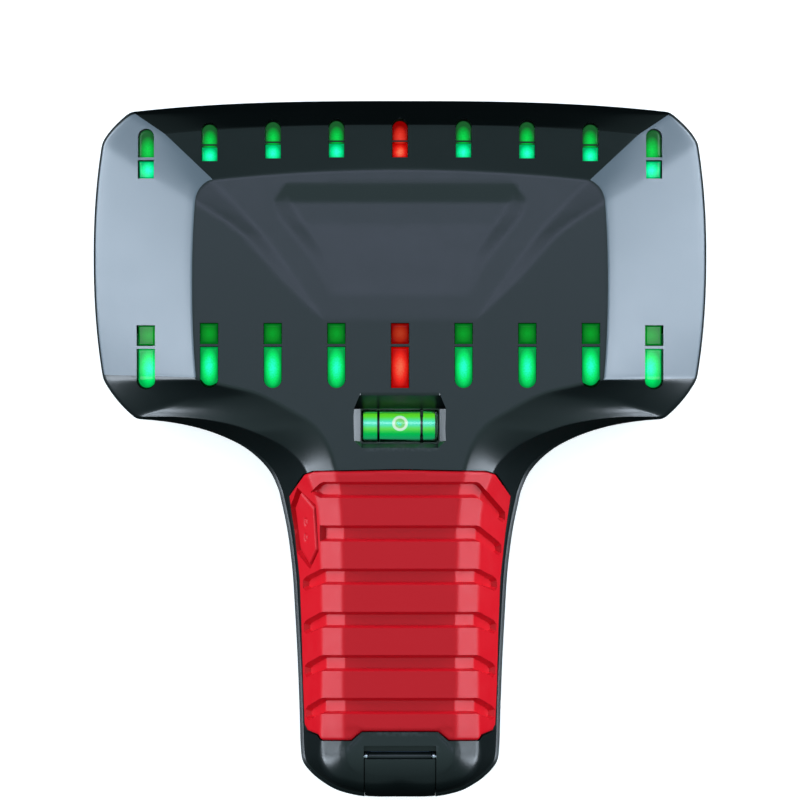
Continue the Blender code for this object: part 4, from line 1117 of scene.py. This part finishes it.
def make_door(material, steel):
    low, high = node_box("battery_door")
    half = high[0]
    pin_low, pin_high = node_box("hinge_pin")
    _, y, z = (pin_low + pin_high) / 2
    door = outer_form("door_leaf", 1.6, 1.6, foot_z=low[2])
    door.data.transform(Matrix.Translation((0, 0.1 * MM, -0.1 * MM)))
    edge = 0.25
    plan = [(half, -79.0), (half, -100), (-half, -100), (-half, -79.0)]
    keep(door, prism("blank", plan, low[2], ABOVE))
    foot = low[2] - 1
    cut(door, side_prism("inside", [(-86.9, foot), *DOOR_INNER, (-70.0, foot)], -half - 2, half + 2))
    cut(door, block("hinge_relief", -half - 1, half + 1, -80.4, -70, 20, ABOVE))
    collar = 0.85
    barrel = turned("barrel", rounded_profile(-half + collar, half - collar, 1.2, edge), 0, y, z)
    join(door, barrel)
    cut(door, rod("bore", -half - 1, y, z, 0.58, 2 * half + 2, along_x=True, sides=20))
    bevel = door.modifiers.new("edge", "BEVEL")
    bevel.width, bevel.segments = 0.2 * MM, 2
    bevel.limit_method, bevel.angle_limit = "ANGLE", math.radians(50)
    stand_for(finish(door, material, 40), "casing", "battery_door", body="battery_door")
    a, b = half - collar + 0.06, half - 0.04
    left = [(-b, 0.55), (-b, 0.95), (-b + 0.12, 1.07), (-a - 0.12, 1.07), (-a, 0.95), (-a, 0.55)]
    right = [(-x, radius) for x, radius in reversed(left)]
    profile = [(pin_low[0], 0), (pin_low[0], 0.55), *left, *right, (pin_high[0], 0.55), (pin_high[0], 0)]
    pin = turned("hinge_rod", profile, 0, y, z, sides=24)
    stand_for(finish(pin, steel), "steel", "hinge_pin")


# ---- back
def rounded_rectangle(low, high, inset, radius, steps=6):
    """A rounded plan outline between two corners, moved in by inset."""
    x0, y0 = low[:2] + inset + radius
    x1, y1 = high[:2] - inset - radius
    arc = np.linspace(0, math.pi / 2, steps)
    corners = []
    for turn, (x, y) in enumerate(((x1, y1), (x0, y1), (x0, y0), (x1, y0))):
        angles = arc + turn * math.pi / 2
        corners.append(columns(x + radius * np.cos(angles), y + radius * np.sin(angles)))
    return np.concatenate(corners)


PADS = ("glide_pad_left", "glide_pad_right", "glide_pad_grip")
SCREWS = [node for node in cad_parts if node.startswith("screw_")]


def make_pads(material):
    for node in PADS:
        low, high = node_box(node)
        rows = []
        for inset, z in ((0.0, high[2]), (0.0, low[2] + 0.35), (0.1, low[2] + 0.12), (0.35, low[2])):
            rows.append(columns(rounded_rectangle(low, high, inset, 2.5 - inset), z))
        count = len(rows[0])
        faces = row_quads(len(rows), count) + [tuple(range(count)), tuple(range(3 * count, 4 * count))]
        pad = outward(mesh_object(f"{node}_felt", np.concatenate(rows), faces))
        stand_for(finish(pad, material), "glide_felt", node)


def make_screws(material):
    for node in SCREWS:
        low, high = node_box(node)
        x, y, _ = (low + high) / 2
        back, tip = low[2], high[2]
        head_r, head_top, shank = (high[0] - low[0]) / 2, back + 1.7, 1.3
        profile = [(back, 0), (back, head_r * 0.55), (back + 0.25, head_r * 0.9), (back + 0.6, head_r),
                   (head_top, head_r), (head_top, shank), (tip - 0.5, shank), (tip, shank - 0.5), (tip, 0)]
        screw = turned(f"{node}_body", profile, x, y, 0, upright=True, sides=32)
        arms = [block("slot", x - a, x + a, y - b, y + b, back - 1, back + 1.0)
                for a, b in ((1.4, 0.3), (0.3, 1.4))]
        cut(screw, join(*arms))
        stand_for(finish(screw, material), "steel", node)


def make_rear_shell(material):
    silhouette = form_rings(1.0)[0][0]
    top = PART_Z - 0.25
    levels = (*BACK_LEVELS, (0.0, PART_Z - 1.2), (0.9, top), (1.25, top), (1.25, PART_Z))
    rings = level_rings(silhouette, levels)
    rows, _ = rounded_rows(rings, (1, 3, 1, 0, 0), 0.1)
    count = len(rows[0])
    faces = row_quads(len(rows), count) + [tuple(range(count))]
    faces.append(tuple(range((len(rows) - 1) * count, len(rows) * count)))
    shell = outward(mesh_object("casing_rear", np.concatenate(rows), faces))
    cavity = prism("cavity", inset_loop(silhouette[::4], HEAD_WALL), BACK_Z + 1.9, 40)
    half = node_box("battery_door")[1][0] + 0.04
    opening = block("end_opening", -half, half, END_Y - 5, -84, BACK_Z + 2.1, 40)
    notch = block("nail_notch", -6, 6, END_Y - 5, END_Y + 2.4, BACK_Z - 1, 6)
    holes = [rod("hole", *node_middle(node)[:2], BELOW, 2.8, 6.4) for node in SCREWS]
    recesses = []
    for node in PADS:
        (x0, y0, _), (x1, y1, _) = node_box(node)
        recesses.append(block("recess", x0 - 0.3, x1 + 0.3, y0 - 0.3, y1 + 0.3, BELOW, BACK_Z + 0.5))
    cut(shell, cavity, opening, notch, merged("holes", holes), merged("recesses", recesses))
    return stand_for(finish(shell, material), "casing", "rear_shell")


# ---- stage
FLOOR = 6000.0
SKY = ((0.0, 0.0), (0.06, 0.15), (0.25, 0.28), (0.5, 0.22), (1.0, 0.75))    # share of the height, level
SKY_TINT = (0.66, 0.98, 1.0)
SIDE_TINT, TOP_TINT = (0.86, 0.97, 1.10), (0.78, 0.80, 1.2)


def make_floor():
    corners = [(x * FLOOR, y * FLOOR, 0) for x, y in ((-1, -1), (1, -1), (1, 1), (-1, 1))]
    floor = mesh_object("floor", corners, [(0, 1, 2, 3)])
    look = Look("floor_white", (0.8, 0.8, 0.8), 0.9)
    socket(look.shader, "Emission Color", (1, 1, 1, 1))
    socket(look.shader, "Emission Strength", 0.62)
    floor.data.materials.append(look.material)
    floor.visible_glossy = False
    floor.visible_diffuse = False


def make_world():
    world = bpy.data.worlds.new("studio")
    bpy.context.scene.world = world
    world.use_nodes = True
    tree = world.node_tree
    split = tree.nodes.new("ShaderNodeSeparateXYZ")
    tree.links.new(tree.nodes.new("ShaderNodeTexCoord").outputs["Generated"], split.inputs[0])
    ramp = tree.nodes.new("ShaderNodeValToRGB")
    set_stops(ramp, [(position, tuple(level * part for part in SKY_TINT)) for position, level in SKY])
    tree.links.new(split.outputs["Z"], ramp.inputs["Fac"])
    tree.links.new(ramp.outputs["Color"], tree.nodes["Background"].inputs["Color"])
    socket(tree.nodes["Background"], "Strength", 1.0)


def softbox(name, place, aim, size_x, size_y, level, tint):
    """An area light of this radiance, size_x along the scene's X where it faces down; metres."""
    light = bpy.data.lights.new(name, "AREA")
    light.shape, light.size, light.size_y, light.color = "RECTANGLE", size_x, size_y, tint
    light.energy = level * math.pi * size_x * size_y
    obj = linked(name, light)
    obj.location = place
    obj.rotation_mode = "QUATERNION"
    obj.rotation_quaternion = (Vector(place) - Vector(aim)).to_track_quat("Z", "Y")
    obj.visible_camera = False


def make_stage():
    make_floor()
    make_world()
    for x in (-0.75, 0.75):
        softbox("side_box", (x, 0.34, 0.19), (0, 0.20, 0.02), 0.8, 0.33, 10.8, SIDE_TINT)
        softbox("side_box_low", (x, -0.24, 0.19), (0, -0.2, 0.02), 0.20, 0.33, 14.0, SIDE_TINT)
    softbox("top_box", (0, 0.38, 0.96), (0, 0, 0.02), 0.7, 0.3, 1.9, TOP_TINT)

    camera = bpy.data.cameras.new("camera")
    camera.lens, camera.sensor_width = 1200.0, 36.0
    camera.clip_end = 50
    obj = linked("camera", camera)
    obj.location = (0, 0.01274, 6.945)
    bpy.context.scene.camera = obj
    bpy.context.scene.view_settings.view_transform = "Standard"


# ---- assembly
# Each lens: its name's ending, its dark, bright and hottest colour, its strength and where its lamp sits.
GREEN_LENSES = {"low_pill": ("pill", (0.0, 0.30, 0.05), (0.0, 0.8, 0.14), (0.02, 1.0, 0.66), 0.95),
                "low_square": ("square", (0.0, 0.14, 0.01), (0.0, 0.25, 0.01), (0.0, 0.36, 0.02), 0.8),
                "top_pill": ("top", (0.01, 0.09, 0.02), (0.0, 0.42, 0.04), (0.0, 0.75, 0.08), 0.85, 0.3),
                "top_square": ("hot", (0.0, 0.35, 0.1), (0.0, 0.9, 0.3), (0.03, 1.0, 0.75), 0.9)}
RED_LENSES = {"low_pill": ("pill", (0.40, 0.0, 0.0), (0.85, 0.02, 0.01), (0.9, 0.16, 0.08), 0.9),
              "low_square": ("square", (0.20, 0.0, 0.0), (0.36, 0.015, 0.0), (0.45, 0.04, 0.01), 0.9),
              "top_pill": ("top", (0.2, 0.0, 0.0), (0.6, 0.02, 0.01), (0.8, 0.05, 0.03), 0.9, 0.3),
              "top_square": ("hot", (0.4, 0.0, 0.0), (0.8, 0.02, 0.01), (0.95, 0.2, 0.1), 0.9)}


def lens_looks(colour, lenses):
    return {part: lit_lens(f"lens_{colour}_{ending}", *look) for part, (ending, *look) in lenses.items()}


def dress_inner_nodes(black, steel):
    """Looks for the CAD pieces that stay: the works inside the casing, seen when the door opens."""
    board = moulded("board_green", (0.01, 0.10, 0.035), (0.03, 0.16, 0.07), 0.35)
    copper = metal("coil_copper", (0.80, 0.38, 0.20), 0.3)
    white = moulded("white_plastic", (0.60, 0.60, 0.57), (0.7, 0.7, 0.68), 0.4)
    wrap = moulded("battery_sleeve", (0.02, 0.05, 0.16), (0.2, 0.22, 0.3), 0.3)
    red_wire = moulded("lead_red", (0.45, 0.01, 0.01), (0.6, 0.05, 0.05), 0.4)
    looks = {"main_board": board, "switch_board": board, "detector_coil": copper, "battery": wrap,
             "battery_lead_red": red_wire}
    steel_nodes = ("cable_socket", "board_screw_left", "board_screw_right", "tact_switch")
    white_nodes = ("switch_plunger", "led_strip_top", "led_strip_low", "vial_retainer")
    looks.update(dict.fromkeys(steel_nodes, steel) | dict.fromkeys(white_nodes, white))
    for node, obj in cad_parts.items():
        if not obj.hide_render:
            obj.data.materials.clear()
            obj.data.materials.append(looks.get(node, black))


def main():
    casing = moulded("casing_black", (0.006, 0.009, 0.009), (0.03, 0.034, 0.036), 0.30)
    # lighter grey for the side facets: part two-tone paint, part painted reflection of the side softboxes
    pale = moulded("casing_grey_and_sheen", (0.10, 0.12, 0.14), (0.2, 0.22, 0.25), 0.30)
    # darker copy of the casing for the band along the head's top edge: painted shade, on a glossier finish
    dark = moulded("casing_shaded_gloss", (0.002, 0.003, 0.003), (0.02, 0.022, 0.024), 0.16)
    red_rubber = rubber("rubber_grip", (0.54, 0.003, 0.010), (0.65, 0.03, 0.04))
    green, red = lens_looks("green", GREEN_LENSES), lens_looks("red", RED_LENSES)
    gloss_black = moulded("ring_black", (0.005, 0.005, 0.006), (0.02, 0.02, 0.02), 0.15)
    black = moulded("black_plastic", (0.012, 0.012, 0.013), (0.03, 0.03, 0.03), 0.45)
    acrylic = Look("vial_acrylic", (0.86, 1.0, 0.88), 0.02)
    socket(acrylic.shader, "Transmission Weight", 1.0)
    socket(acrylic.shader, "IOR", 1.49)
    acrylic.bump(acrylic.noise(300, 2), 0.05, 0.00002)
    liquid = vial_painted_glow_look()
    air = bubble_painted_ring_look()
    felt = moulded("felt", (0.03, 0.031, 0.033), (0.05, 0.05, 0.05), 0.9, 4000, 0.0002)
    steel = metal("steel", (0.6, 0.6, 0.62), 0.28)

    form = outer_form("form", 1.0, 0.9)
    surface = Surface(form)
    hexagon = button_outline()
    button_plan = np.array([(surface.x_at(y, z, -1), y) for y, z in hexagon])
    make_front_shell(casing, pale, dark)
    make_rear_shell(casing)
    make_grip(surface, red_rubber, button_plan)
    make_button(surface, red_rubber, button_plan)
    make_lights(surface, green, red)
    bpy.data.objects.remove(form)
    make_vial(acrylic.material, liquid, air, gloss_black)
    make_door(casing, steel)
    make_pads(felt)
    make_screws(steel)
    dress_inner_nodes(black, steel)
    make_stage()


main()
